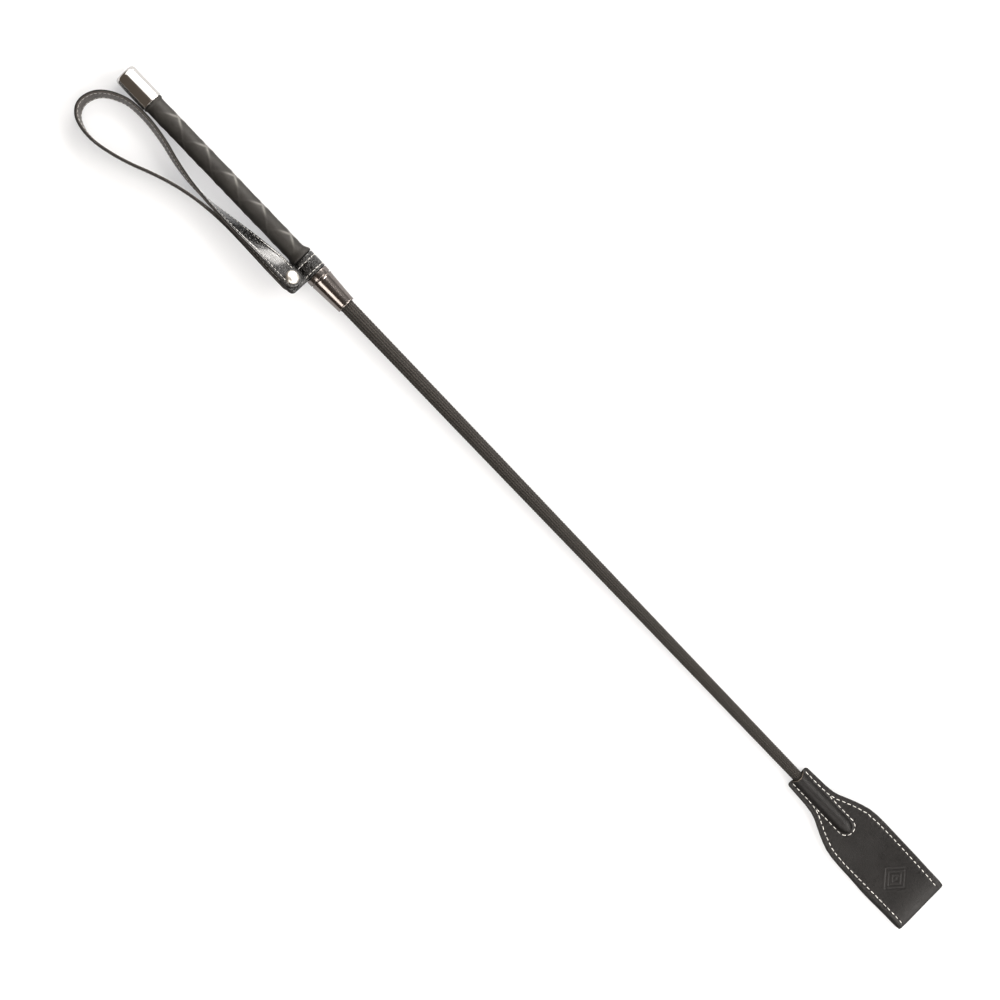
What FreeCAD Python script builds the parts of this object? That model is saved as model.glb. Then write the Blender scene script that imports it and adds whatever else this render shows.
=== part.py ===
import FreeCAD, Part

import math
import os
import re

import Sketcher

# Riding crop. +X runs along the shaft from the butt to the flap, +Y is the side away from
# the wrist loop and +Z is up. The origin is the centre of the butt's flat end face.
# Every number is in millimetres or degrees.

doc = FreeCAD.newDocument("riding_crop")
sheet = doc.addObject("Spreadsheet::Sheet", "Sizes")

SIZES = {
    # handle
    "cap_length": 23.6,
    "cap_radius": 6.75,
    "cap_wall": 0.7,
    "cap_end_rounding": 2.5,
    "grip_start": 23.7,
    "grip_end": 144.9,
    "grip_radius": 5.6,
    "grip_bore": 4.45,
    "grip_lip_radius": 6.2,
    "flare_radius": 7.3,
    "flare_length": 4.7,
    "core_radius": 4.4,
    "seat_radius": 5.47,
    "glue_gap": 0.05,
    # ferrule
    "ferrule_start": 156.95,
    "ferrule_end": 181.4,
    "ferrule_skirt": 3.6,
    "ferrule_skirt_radius": 6.95,
    "ferrule_cone_radius": 6.75,
    "ferrule_mouth_radius": 5.5,
    "ferrule_bore": 6.2,
    "core_end": 166.0,
    # shaft
    "rod_start": 3.0,
    "rod_radius": 3.1,
    "rod_tip_radius": 1.94,
    "braid_start": 167.0,
    "shaft_tip": 588.5,
    "braid_radius": 4.04,
    "braid_tip_radius": 2.86,
    "braid_wall": 0.9,
    # neck band and rivet
    "band_start": 145.25,
    "band_width": 11.4,
    "band_bore": 5.55,
    "band_radius": 7.0,
    "band_reach": 19.8,
    "tail_thickness": 1.5,
    "tail_corner": 2.8,
    "tail_slit": 0.1,
    "tab_tilt": 27.0,
    "rivet_reach": 14.3,
    "rivet_along": 149.4,
    "rivet_shank": 1.5,
    "rivet_head": 4.1,
    "rivet_head_rise": 1.9,
    "rivet_foot_rise": 1.3,
    "rivet_head_rounding": 1.5,
    # wrist strap
    "strap_width": 11.0,
    "strap_thickness": 1.7,
    "strap_gap": 0.2,
    "strap_flat_end": 141.0,
    "ply_gap": 0.05,
    "stitch_inset": 1.4,
    "stitch_width": 0.7,
    "stitch_rise": 0.25,
    # flap
    "flap_start": 547.0,
    "flex_line": 595.0,
    "flex_gap": 0.15,
    "flex_bevel": 26.0,
    "flap_end": 650.0,
    "neck_half": 6.9,
    "blade_half": 17.5,
    "flap_leather": 1.1,
    "flap_lining": 0.7,
    "flap_half_gap": 0.05,
    "fold_radius": 3.75,
    "blade_parallel": 14.0,
    "tunnel_bore": 3.05,
    "tunnel_length": 42.2,
    "flap_stitch_inset": 2.9,
    "tunnel_seam_gap": 0.45,
    "seam_length": 18.2,
}
for row, (alias, value) in enumerate(SIZES.items(), 1):
    sheet.set(f"A{row}", alias)
    sheet.set(f"B{row}", str(value))
    sheet.setAlias(f"B{row}", alias)
doc.recompute()

AXIS = FreeCAD.Vector(1, 0, 0)
UP = FreeCAD.Vector(0, 0, 1)
FAR = 200.0  # longer than any hole is deep
SEAM_TURN = 20  # degrees between points where the seam rounds the tunnel's end


def bound(text):
    """An expression on the sheet, from plain names such as "cap_length - cap_wall"."""
    return re.sub(r"[a-z]\w*_\w+", lambda name: "Sizes." + name.group(), str(text))


def number(text):
    """The value of such an expression now."""
    return float(sheet.evalExpression(bound(text)))


def drive(target, **properties):
    """Binds properties of an object to expressions on the sheet."""
    for name, text in properties.items():
        target.setExpression(name, bound(text))


def place(target, x="0", y="0", z="0", rotation=None):
    """Puts an object at a point whose coordinates are expressions."""
    if rotation is not None:
        target.Placement = FreeCAD.Placement(FreeCAD.Vector(), rotation)
    for letter, text in zip("xyz", (x, y, z)):
        target.setExpression(f"Placement.Base.{letter}", bound(text))


# sketches


def hold_point(sketch, line, end, x, y):
    """Fixes one end of a line at (x, y), each an expression, measured from the origin."""
    for kind, text, axis in (("DistanceX", x, -2), ("DistanceY", y, -1)):
        value = number(text)
        if abs(value) < 1e-9:
            sketch.addConstraint(Sketcher.Constraint("PointOnObject", line, end, axis))
            continue
        if value > 0:
            rule = Sketcher.Constraint(kind, -1, 1, line, end, value)
        else:
            rule = Sketcher.Constraint(kind, line, end, -1, 1, -value)
            text = f"-({text})"
        index = sketch.addConstraint(rule)
        sketch.setExpression(f"Constraints[{index}]", bound(text))


def outline(sketch, corners):
    """A closed outline through the corners, each (x, y) in expressions.

    A corner (x, y, "fold") starts a half circle about the sketch's first axis, which ends
    at the next corner, straight above or below.
    """
    spots = [FreeCAD.Vector(number(c[0]), number(c[1]), 0) for c in corners]
    ends = []
    for index, corner in enumerate(corners):
        start = spots[index]
        end = spots[(index + 1) % len(spots)]
        if len(corner) == 2:
            sketch.addGeometry(Part.LineSegment(start, end))
            ends.append((1, 2))
            continue
        circle = Part.Circle(FreeCAD.Vector(start.x, 0, 0), UP, abs(start.y))
        sketch.addGeometry(Part.ArcOfCircle(circle, -math.pi / 2, math.pi / 2))
        ends.append((2, 1) if start.y > 0 else (1, 2))
    for index, corner in enumerate(corners):
        before = (index - 1) % len(corners)
        meeting = Sketcher.Constraint(
            "Coincident", before, ends[before][1], index, ends[index][0]
        )
        sketch.addConstraint(meeting)
        if len(corner) == 2:
            hold_point(sketch, index, 1, corner[0], corner[1])
            continue
        hold_point(sketch, before, 2, corner[0], corner[1])
        centre = Sketcher.Constraint("DistanceX", -1, 1, index, 3, spots[index].x)
        rule = sketch.addConstraint(centre)
        sketch.setExpression(f"Constraints[{rule}]", bound(corner[0]))


def body_with_sketch(label, plane_role, corners):
    """A body of its own with one sketch on the named origin plane."""
    body = doc.addObject("PartDesign::Body", label)
    sketch = body.newObject("Sketcher::SketchObject", label + "_profile")
    planes = [item for item in body.Origin.OriginFeatures if item.Role == plane_role]
    sketch.AttachmentSupport = [(planes[0], "")]
    sketch.MapMode = "FlatFace"
    outline(sketch, corners)
    return body, sketch


def lathe(label, corners):
    """A turned piece: its half profile, (distance along X, radius), turned about X."""
    body, sketch = body_with_sketch(label, "XY_Plane", corners)
    turn = body.newObject("PartDesign::Revolution", label + "_turn")
    turn.Profile = sketch
    turn.ReferenceAxis = (sketch, ["H_Axis"])
    turn.Angle = 360
    body.Tip = turn
    doc.recompute()
    return body


def round_rim(body, x, radius, rounding):
    """Rounds the circular edge of a turned piece at distance x and the given radius."""
    turned = body.Tip
    for index, edge in enumerate(turned.Shape.Edges, 1):
        if not isinstance(edge.Curve, Part.Circle):
            continue
        right_place = abs(edge.Curve.Center.x - number(x)) < 1e-6
        if right_place and abs(edge.Curve.Radius - number(radius)) < 1e-6:
            break
    else:
        raise ValueError("no such rim on " + body.Label)
    fillet = body.newObject("PartDesign::Fillet", body.Label + "_rounding")
    fillet.Base = (turned, [f"Edge{index}"])
    drive(fillet, Radius=rounding)
    body.Tip = fillet
    doc.recompute()


# the handle: cap, core and sleeve


def butt_cap():
    """A drawn metal cup over the butt, with a rounded end edge."""
    inside = "cap_radius - cap_wall"
    body = lathe("butt_cap", [
        ("0", "0"),
        ("0", "cap_radius"),
        ("cap_length", "cap_radius"),
        ("cap_length", inside),
        ("cap_wall + cap_end_rounding", inside),
        ("cap_wall", "cap_radius - cap_wall - cap_end_rounding"),
        ("cap_wall", "0"),
    ])
    round_rim(body, "0", "cap_radius", "cap_end_rounding")


def grip_core():
    """The turned former inside the handle, with seats for the cap, the band and the ferrule."""
    bore = "rod_radius + glue_gap"
    cap_seat = "cap_radius - cap_wall - glue_gap"
    lathe("grip_core", [
        ("cap_wall + cap_end_rounding", bore),
        ("cap_wall + cap_end_rounding", cap_seat),
        ("cap_length - 0.5", cap_seat),
        ("cap_length - 0.5", "core_radius"),
        ("grip_end + glue_gap", "core_radius"),
        ("grip_end + glue_gap", "seat_radius"),
        ("ferrule_start + glue_gap", "seat_radius"),
        ("ferrule_start + glue_gap", "ferrule_bore - glue_gap"),
        ("core_end", "ferrule_bore - glue_gap"),
        ("core_end", bore),
    ])


def grip_sleeve():
    """The rubber sleeve, with a lip against the cap and a flared stop at the neck."""
    lathe("grip_sleeve", [
        ("grip_start", "grip_bore"),
        ("grip_start", "grip_lip_radius"),
        ("grip_start + 1.5", "grip_lip_radius"),
        ("grip_start + 2", "grip_radius"),
        ("grip_end - flare_length", "grip_radius"),
        ("grip_end - flare_length * 0.5", "flare_radius - 0.6"),
        ("grip_end - 1.6", "flare_radius"),
        ("grip_end - 0.8", "flare_radius"),
        ("grip_end", "flare_radius - 0.6"),
        ("grip_end", "grip_bore"),
    ])


def ferrule():
    """The one-piece nickel ferrule: a skirt, a turned groove and a cone to the shaft."""
    groove = "ferrule_start + ferrule_skirt"
    mouth_bore = "braid_radius + 0.08"
    lathe("ferrule", [
        ("ferrule_start", "ferrule_bore"),
        ("ferrule_start", "ferrule_skirt_radius"),
        (groove, "ferrule_skirt_radius"),
        (groove + " + 0.3", "ferrule_cone_radius - 0.2"),
        (groove + " + 0.9", "ferrule_cone_radius"),
        ("ferrule_end", "ferrule_mouth_radius"),
        ("ferrule_end", mouth_bore),
        ("ferrule_end - 1.4", mouth_bore),
        ("core_end + 1", "ferrule_bore - 0.2"),
        ("core_end + 0.9", "ferrule_bore"),
    ])


# the shaft


def shaft_rod():
    """The tapered fibreglass rod, which runs from inside the cap to inside the flap."""
    lathe("shaft_rod", [
        ("rod_start", "0"),
        ("rod_start", "rod_radius"),
        ("braid_start", "rod_radius"),
        ("shaft_tip", "rod_tip_radius"),
        ("shaft_tip", "0"),
    ])


def shaft_braid():
    """The braided cover on the rod, a tapered tube."""
    lathe("shaft_braid", [
        ("braid_start", "braid_radius - braid_wall"),
        ("braid_start", "braid_radius"),
        ("shaft_tip", "braid_tip_radius"),
        ("shaft_tip", "braid_tip_radius - braid_wall"),
    ])


# the neck band and the rivet

tilt = math.radians(number("tab_tilt"))
OUTWARD = FreeCAD.Vector(0, -math.cos(tilt), math.sin(tilt))
RIVET_AXIS = FreeCAD.Vector(0, math.sin(tilt), math.cos(tilt))
RIVET_CENTRE = AXIS * number("rivet_along") + OUTWARD * number("rivet_reach")
# in the band's own frame, x is outward along the tab, y is down and z runs along the shaft
BAND_TURN = FreeCAD.Rotation(OUTWARD, -RIVET_AXIS, AXIS, "ZXY")
# in the rivet's own frame, x runs up the shank
RIVET_TURN = FreeCAD.Rotation(RIVET_AXIS, OUTWARD, RIVET_AXIS.cross(OUTWARD), "XYZ")


def boolean(kind, label, base, tools):
    """A Part cut or fusion of a base with one or more tools."""
    if len(tools) > 1:
        joined = doc.addObject("Part::MultiFuse", label + "_tools")
        joined.Shapes = tools
    else:
        joined = tools[0]
    result = doc.addObject(kind, label)
    result.Base = base
    result.Tool = joined
    return result


def neck_band():
    """A leather band round the neck, whose two tails lie together as a tab."""
    ring = doc.addObject("Part::Cylinder", "band_ring")
    drive(ring, Radius="band_radius", Height="band_width")
    tab = doc.addObject("Part::Box", "band_tab")
    drive(tab, Length="band_reach", Width="tail_thickness * 2", Height="band_width")
    place(tab, y="-tail_thickness")
    doc.recompute()
    rounded_tab = doc.addObject("Part::Fillet", "band_tab_rounded")
    rounded_tab.Base = tab
    far_corners = []
    for index, edge in enumerate(tab.Shape.Edges, 1):
        at_end = edge.CenterOfMass.x > number("band_reach") - 0.01
        if at_end and abs(edge.CenterOfMass.y) < 0.01:
            radius = number("tail_corner")
            far_corners.append((index, radius, radius))
    rounded_tab.Edges = far_corners
    solid = doc.addObject("Part::Fuse", "band_solid")
    solid.Base = ring
    solid.Tool = rounded_tab
    bore = doc.addObject("Part::Cylinder", "band_hole")
    drive(bore, Radius="band_bore", Height="band_width * 2")
    place(bore, z="-band_width / 2")
    slit = doc.addObject("Part::Box", "band_slit")
    drive(slit, Length="band_reach * 2", Width="tail_slit", Height="band_width * 2")
    place(slit, y="-tail_slit / 2", z="-band_width / 2")
    hole = doc.addObject("Part::Cylinder", "band_rivet_hole")
    drive(hole, Radius="rivet_shank + 0.02", Height="tail_thickness * 4")
    sideways = FreeCAD.Rotation(AXIS, -90)
    place(hole, "rivet_reach", "-tail_thickness * 2", "rivet_along - band_start", sideways)
    band = boolean("Part::Cut", "neck_band", solid, [bore, slit, hole])
    place(band, x="band_start", rotation=BAND_TURN)


def put_on_rivet(body):
    """Moves a turned piece from its own X axis to the rivet's axis."""
    body.Placement = FreeCAD.Placement(RIVET_CENTRE, RIVET_TURN)


STACK = "tail_thickness + strap_gap + strap_thickness + strap_gap"


def rivet_post():
    """The rivet's lower head and its shank, which runs up into the cap."""
    body = lathe("rivet_post", [
        (f"-({STACK}) - rivet_foot_rise", "0"),
        (f"-({STACK}) - rivet_foot_rise", "rivet_head - 0.5"),
        (f"-({STACK}) - rivet_foot_rise / 2", "rivet_head"),
        (f"-({STACK})", "rivet_head"),
        (f"-({STACK})", "rivet_shank"),
        (f"{STACK} + rivet_head_rise / 2 - 0.1", "rivet_shank"),
        (f"{STACK} + rivet_head_rise / 2 - 0.1", "0"),
    ])
    put_on_rivet(body)


def rivet_cap():
    """The rivet's domed upper head, hollow where the shank is set into it."""
    body = lathe("rivet_cap", [
        (STACK, "rivet_shank + 0.02"),
        (STACK, "rivet_head"),
        (f"{STACK} + rivet_head_rise", "rivet_head"),
        (f"{STACK} + rivet_head_rise", "0"),
        (f"{STACK} + rivet_head_rise / 2", "0"),
        (f"{STACK} + rivet_head_rise / 2", "rivet_shank + 0.02"),
    ])
    round_rim(body, f"{STACK} + rivet_head_rise", "rivet_head", "rivet_head_rounding")
    put_on_rivet(body)


# the wrist strap

HALF_STACK = number("tail_thickness + strap_gap + strap_thickness / 2")
STRAP_UPPER = RIVET_CENTRE + RIVET_AXIS * HALF_STACK
STRAP_LOWER = RIVET_CENTRE - RIVET_AXIS * HALF_STACK

# Points on the strap's middle line, from the flat upper end round the loop to the flat
# lower end: x, y, z and the turn of its width from level and handle-side to upright.
STRAP_ROUTE = [
    (number("strap_flat_end"), STRAP_UPPER.y, STRAP_UPPER.z, 180 - number("tab_tilt")),
    (129.7, -12.3, 7.9, 138),
    (112.9, -14.1, 4.9, 115),
    (98.0, -15.4, 1.9, 98),
    (84.8, -15.9, -0.3, 90),
    (70.0, -15.3, -1.5, 85),
    (56.7, -13.3, -1.8, 81),
    (45.5, -10.9, -1.8, 80),
    (34.3, -9.2, -1.8, 80),
    (24.7, -8.8, -1.8, 80),
    (14.5, -9.5, -1.8, 81),
    (6.2, -12.0, -1.8, 83),
    (0.4, -15.6, -1.8, 86),
    (-3.6, -20.2, -1.7, 89),
    (-5.6, -26.5, -1.7, 90),
    (-4.3, -32.2, -1.7, 90),
    (0.5, -36.6, -1.7, 90),
    (8.5, -38.6, -1.7, 90),
    (17.4, -38.5, -1.7, 90),
    (28.6, -36.2, -1.7, 90),
    (39.9, -32.6, -1.7, 90),
    (51.1, -28.1, -1.7, 90),
    (62.3, -24.1, -1.7, 90),
    (73.6, -21.1, -1.6, 90),
    (84.8, -19.1, -1.2, 90),
    (98.0, -17.6, 0.0, 86),
    (112.9, -16.6, 1.8, 77),
    (129.7, -15.0, 3.6, 52),
    (number("strap_flat_end"), STRAP_LOWER.y, STRAP_LOWER.z, number("tab_tilt")),
]
STEPS_PER_SPAN = 3


def slopes(points):
    """The slope of each number at each point, per unit of length along the route."""
    spans = [
        FreeCAD.Vector(*a[:3]).distanceToPoint(FreeCAD.Vector(*b[:3]))
        for a, b in zip(points, points[1:])
    ]
    result = []
    for index in range(len(points)):
        before = max(index - 1, 0)
        after = min(index + 1, len(points) - 1)
        length = sum(spans[before:after])
        result.append([(b - a) / length for a, b in zip(points[before], points[after])])
    return spans, result


def along(points):
    """Stations on a smooth curve through the points, as (place, direction, turn)."""
    spans, slope = slopes(points)
    for end in (0, -1):
        heading = -1.0 if end == 0 else 1.0
        slope[end] = [heading, 0.0, 0.0, 0.0]
    stations = []
    for index, span in enumerate(spans):
        last = index == len(spans) - 1
        for step in range(STEPS_PER_SPAN + (1 if last else 0)):
            u = step / STEPS_PER_SPAN
            ends = zip(points[index], points[index + 1], slope[index], slope[index + 1])
            place_now = []
            heading_now = []
            for a, b, sa, sb in ends:
                place_now.append(
                    a * (2 * u**3 - 3 * u**2 + 1) + b * (3 * u**2 - 2 * u**3)
                    + span * (sa * (u**3 - 2 * u**2 + u) + sb * (u**3 - u**2))
                )
                heading_now.append(
                    (b - a) * (6 * u - 6 * u**2) / span
                    + sa * (3 * u**2 - 4 * u + 1) + sb * (3 * u**2 - 2 * u)
                )
            direction = FreeCAD.Vector(*heading_now[:3])
            direction.normalize()
            stations.append((FreeCAD.Vector(*place_now[:3]), direction, place_now[3]))
    return stations


def frame_at(direction, turn):
    """The strap's width direction and its outward face direction at a station."""
    level = direction.cross(UP)
    level.normalize()
    width = level * math.cos(math.radians(turn)) + UP * math.sin(math.radians(turn))
    width = width - direction * width.dot(direction)
    width.normalize()
    return width, direction.cross(width)


def ribbon(stations, low, high, inner, outer):
    """A solid along the strap, between two offsets in width and two in thickness."""
    sections = []
    for spot, direction, turn in stations:
        width, face = frame_at(direction, turn)
        corners = [
            spot + width * low + face * inner,
            spot + width * high + face * inner,
            spot + width * high + face * outer,
            spot + width * low + face * outer,
        ]
        sections.append(Part.makePolygon(corners + corners[:1]))
    return Part.makeLoft(sections, True, True)


def flat_end(stations, half_width, inner, outer):
    """The strap's flat round end at the rivet, with its hole, from the last station."""
    spot, direction, turn = stations
    width, face = frame_at(direction, turn)
    length = number("rivet_along - strap_flat_end")
    start = spot + face * inner
    inward = AXIS * length
    near = [start + width * half_width, start - width * half_width]
    arc = Part.Arc(near[1] + inward, start + inward + AXIS * half_width, near[0] + inward)
    edges = [
        Part.LineSegment(near[0], near[1]).toShape(),
        Part.LineSegment(near[1], near[1] + inward).toShape(),
        arc.toShape(),
        Part.LineSegment(near[0] + inward, near[0]).toShape(),
    ]
    pad = Part.Face(Part.Wire(edges)).extrude(face * (outer - inner))
    hole = Part.makeCylinder(
        number("rivet_shank + 0.08"), FAR, RIVET_CENTRE - RIVET_AXIS * FAR / 2,
        RIVET_AXIS,
    )
    return pad.cut(hole)


def add_shape(label, shape):
    """A piece whose shape Part's own functions make, in place."""
    piece = doc.addObject("Part::Feature", label)
    piece.Shape = shape
    piece.Placement = FreeCAD.Placement()
    return piece


def strap_ply(label, inner, outer, inset):
    """One ply of the strap with both of its flat ends."""
    stations = along(STRAP_ROUTE)
    half_width = number("strap_width") / 2 - inset
    shape = ribbon(stations, -half_width, half_width, inner, outer)
    for end in (stations[0], stations[-1]):
        shape = shape.fuse(flat_end(end, half_width, inner, outer))
    add_shape(label, shape.removeSplitter())


def strap():
    """Two plies back to back, and a row of stitching near each edge on both faces."""
    half = number("strap_thickness") / 2
    gap = number("ply_gap") / 2
    strap_ply("strap_outer_ply", gap, half, 0.0)
    strap_ply("strap_inner_ply", -half, -gap, 0.1)
    row_middle = number("strap_width / 2 - stitch_inset")
    row_half = number("stitch_width") / 2
    rise = number("stitch_rise")
    stations = along(STRAP_ROUTE)[1:-1]
    rows = []
    for side in (-1, 1):
        low, high = side * row_middle - row_half, side * row_middle + row_half
        rows.append(ribbon(stations, low, high, half + gap, half + rise))
        rows.append(ribbon(stations, low, high, -half - rise, -half - gap))
    add_shape("strap_stitching", Part.makeCompound(rows))


def band_stitching():
    """Two rows of stitching round the neck band, over the part that shows."""
    rows = []
    inner = number("band_radius") + number("glue_gap")
    outer = inner + number("stitch_rise")
    open_angle = 50.0
    start = FreeCAD.Rotation(AXIS, open_angle / 2).multVec(OUTWARD)
    for share in (0.26, 0.84):
        x = number("band_start") + share * number("band_width") - number("stitch_width") / 2
        corners = [
            AXIS * x + start * inner,
            AXIS * x + start * outer,
            AXIS * (x + number("stitch_width")) + start * outer,
            AXIS * (x + number("stitch_width")) + start * inner,
        ]
        face = Part.Face(Part.makePolygon(corners + corners[:1]))
        rows.append(face.revolve(FreeCAD.Vector(), AXIS, 360 - open_angle))
    add_shape("neck_band_stitching", Part.makeCompound(rows))


# the flap

# half widths of the flap from its neck to the flex line: distance from the neck, half width
THROAT_OUTLINE = [
    ("0", "neck_half - 1.2"),
    ("1.2", "neck_half"),
    ("14.6", "neck_half + 0.5"),
    ("21", "neck_half + 1.5"),
    ("28", "neck_half + 4.3"),
    ("37.5", "neck_half + 8.3"),
    ("43", "blade_half - 0.6"),
    ("flex_line - flap_start - flex_gap", "blade_half"),
]


def throat_layer(label, low, high, bulge_bore, bulge):
    """A layer of the flap's neck: a flat wing on each side of a tunnel over the rod."""
    sketch = doc.addObject("Sketcher::SketchObject", label + "_outline")
    corners = [(f"flap_start + {x}", half) for x, half in THROAT_OUTLINE]
    corners += [(x, f"-({half})") for x, half in reversed(corners)]
    outline(sketch, corners)
    place(sketch, z=low)
    wing = doc.addObject("Part::Extrusion", label + "_wing")
    wing.Base = sketch
    wing.DirMode = "Custom"
    wing.Dir = UP
    wing.Solid = True
    drive(wing, LengthFwd=f"({high}) - ({low})")
    along_shaft = FreeCAD.Rotation(FreeCAD.Vector(0, 1, 0), 90)
    roof = doc.addObject("Part::Cylinder", label + "_roof")
    drive(roof, Radius=bulge, Height="tunnel_length")
    place(roof, x="flap_start", rotation=along_shaft)
    solid = doc.addObject("Part::Fuse", label + "_solid")
    solid.Base = wing
    solid.Tool = roof
    tunnel = doc.addObject("Part::Cylinder", label + "_tunnel")
    drive(tunnel, Radius=bulge_bore, Height="tunnel_length + 1 + (" + bulge_bore + ") * 0.2")
    place(tunnel, x="flap_start - 1", rotation=along_shaft)
    below = doc.addObject("Part::Box", label + "_below")
    drive(below, Length="flap_end", Width="blade_half * 4", Height="blade_half")
    place(below, "0", "-blade_half * 2", f"({low}) - blade_half")
    bevel = doc.addObject("Part::Box", label + "_bevel")
    drive(bevel, Length="blade_half", Width="blade_half * 4", Height="blade_half")
    lean = FreeCAD.Rotation(FreeCAD.Vector(0, 1, 0), -number("flex_bevel"))
    place(bevel, "flex_line - flex_gap", "-blade_half * 2", "0", lean)
    return boolean("Part::Cut", label, solid, [tunnel, below, bevel])


def mirrored(label, source):
    """The same layer on the underside of the rod."""
    copy = doc.addObject("Part::Mirroring", label)
    copy.Source = source
    copy.Normal = UP


def throat():
    """The flap's neck, stitched round the rod: leather and lining, front and back."""
    lining_top = "flap_half_gap + flap_lining"
    lining = throat_layer(
        "flap_neck_lining_front", "flap_half_gap", lining_top,
        "tunnel_bore", "tunnel_bore + flap_lining",
    )
    leather = throat_layer(
        "flap_neck_leather_front", lining_top + " + ply_gap",
        lining_top + " + flap_leather",
        "tunnel_bore + flap_lining + ply_gap", "tunnel_bore + flap_lining + flap_leather",
    )
    mirrored("flap_neck_lining_back", lining)
    mirrored("flap_neck_leather_back", leather)


def blade_strip(label, near, far, width):
    """A strip folded back on itself at the flap's end, between two depths from its skin.

    near and far are the distances of the strip's two faces inside the flap's skin.
    """
    skin = "flap_half_gap + flap_lining + flap_leather"
    start = "flex_line + flex_gap"
    bend = "flap_end - fold_radius"
    edge = "tan(flex_bevel * 1deg)"
    outer, inner = f"({skin} - ({near}))", f"({skin} - ({far}))"
    outer_fold, inner_fold = f"(fold_radius - ({near}))", f"(fold_radius - ({far}))"
    body, sketch = body_with_sketch(label, "XZ_Plane", [
        (f"{start} + {edge} * {outer}", outer),
        (f"{start} + blade_parallel", outer),
        (bend, outer_fold, "fold"),
        (bend, f"-{outer_fold}"),
        (f"{start} + blade_parallel", f"-{outer}"),
        (f"{start} + {edge} * {outer}", f"-{outer}"),
        (f"{start} + {edge} * {inner}", f"-{inner}"),
        (f"{start} + blade_parallel", f"-{inner}"),
        (bend, f"-{inner_fold}", "fold"),
        (bend, inner_fold),
        (f"{start} + blade_parallel", inner),
        (f"{start} + {edge} * {inner}", inner),
    ])
    pad = body.newObject("PartDesign::Pad", label + "_width")
    pad.Profile = sketch
    pad.Midplane = True
    drive(pad, Length=width)
    body.Tip = pad
    doc.recompute()


def blade():
    """The flap's blade: one leather strip with its lining, folded at the far end."""
    blade_strip("flap_blade_leather", "0", "flap_leather", "blade_half * 2")
    lining_face = "flap_leather + ply_gap"
    far_face = "flap_leather + flap_lining"
    blade_strip("flap_blade_lining", lining_face, far_face, "blade_half * 2 - 0.4")


def thread_line(points, z_low, z_high):
    """A flat bead of thread through points in plan, between two heights."""
    half = number("stitch_width") / 2
    left, right = [], []
    for index, point in enumerate(points):
        before = points[max(index - 1, 0)]
        after = points[min(index + 1, len(points) - 1)]
        side = (after - before).cross(UP)
        side.normalize()
        left.append(point + side * half)
        right.append(point - side * half)
    loop = left + right[::-1]
    face = Part.Face(Part.makePolygon(loop + loop[:1]))
    face.translate(UP * z_low)
    return face.extrude(UP * (z_high - z_low))


def flap_neck_stitching():
    """The rows that close the flap's neck: one along each edge and one round the tunnel."""
    skin = number("flap_half_gap + flap_lining + flap_leather")
    low = skin + number("ply_gap")
    high = skin + number("stitch_rise")
    inset = number("flap_stitch_inset")
    start = number("flap_start")
    seam_half = number("tunnel_bore + flap_lining + flap_leather + tunnel_seam_gap")
    edge = [
        FreeCAD.Vector(start + number(x), max(number(half) - inset, seam_half), 0)
        for x, half in THROAT_OUTLINE[1:]
    ]
    edge[0].x += number("stitch_width")
    edge[-1].x = number("flex_line - flex_gap - flap_stitch_inset / 2")
    tip = start + number("tunnel_length - tunnel_seam_gap * 3")
    seam_start = start + number("tunnel_length - seam_length")
    seam = [FreeCAD.Vector(seam_start, seam_half, 0)]
    for angle in range(90, -91, -SEAM_TURN):
        way = FreeCAD.Vector(math.cos(math.radians(angle)), math.sin(math.radians(angle)), 0)
        seam.append(AXIS * tip + way * seam_half)
    seam.append(FreeCAD.Vector(seam_start, -seam_half, 0))
    rows = []
    for z_low, z_high in ((low, high), (-high, -low)):
        rows.append(thread_line(edge, z_low, z_high))
        rows.append(thread_line([FreeCAD.Vector(p.x, -p.y, 0) for p in edge], z_low, z_high))
        rows.append(thread_line(seam, z_low, z_high))
    add_shape("flap_neck_stitching", Part.makeCompound(rows))


def flap_blade_stitching():
    """A row along each edge of the blade, on its front and its back."""
    skin = number("flap_half_gap + flap_lining + flap_leather")
    bend = number("flap_end - fold_radius")
    start = number("flex_line + flex_gap")
    level_end = start + number("blade_parallel")
    rise = number("stitch_rise")
    gap = number("ply_gap")
    row = number("blade_half - flap_stitch_inset")
    half = number("stitch_width") / 2
    rows = []
    for face in (-1, 1):
        profile = [
            (start + 2, skin + gap),
            (level_end, skin + gap),
            (bend - 2, number("fold_radius") + gap),
            (bend - 2, number("fold_radius") + rise),
            (level_end, skin + rise),
            (start + 2, skin + rise),
        ]
        for side in (-1, 1):
            corners = [FreeCAD.Vector(x, side * row - half, face * z) for x, z in profile]
            bead = Part.Face(Part.makePolygon(corners + corners[:1]))
            rows.append(bead.extrude(FreeCAD.Vector(0, half * 2, 0)))
    add_shape("flap_blade_stitching", Part.makeCompound(rows))


doc.recompute()
butt_cap()
grip_core()
grip_sleeve()
ferrule()
shaft_rod()
shaft_braid()
neck_band()
rivet_post()
rivet_cap()
strap()
band_stitching()
throat()
blade()
flap_neck_stitching()
flap_blade_stitching()
doc.recompute()

NODES = [
    "butt_cap", "grip_core", "grip_sleeve", "ferrule", "shaft_rod", "shaft_braid",
    "neck_band", "neck_band_stitching", "rivet_post", "rivet_cap",
    "strap_outer_ply", "strap_inner_ply", "strap_stitching",
    "flap_neck_leather_front", "flap_neck_lining_front",
    "flap_neck_leather_back", "flap_neck_lining_back", "flap_neck_stitching",
    "flap_blade_leather", "flap_blade_lining", "flap_blade_stitching",
]

for item in doc.Objects:
    if "Invalid" in item.State or "Error" in item.State:
        raise ValueError("failed: " + item.Label)

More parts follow.
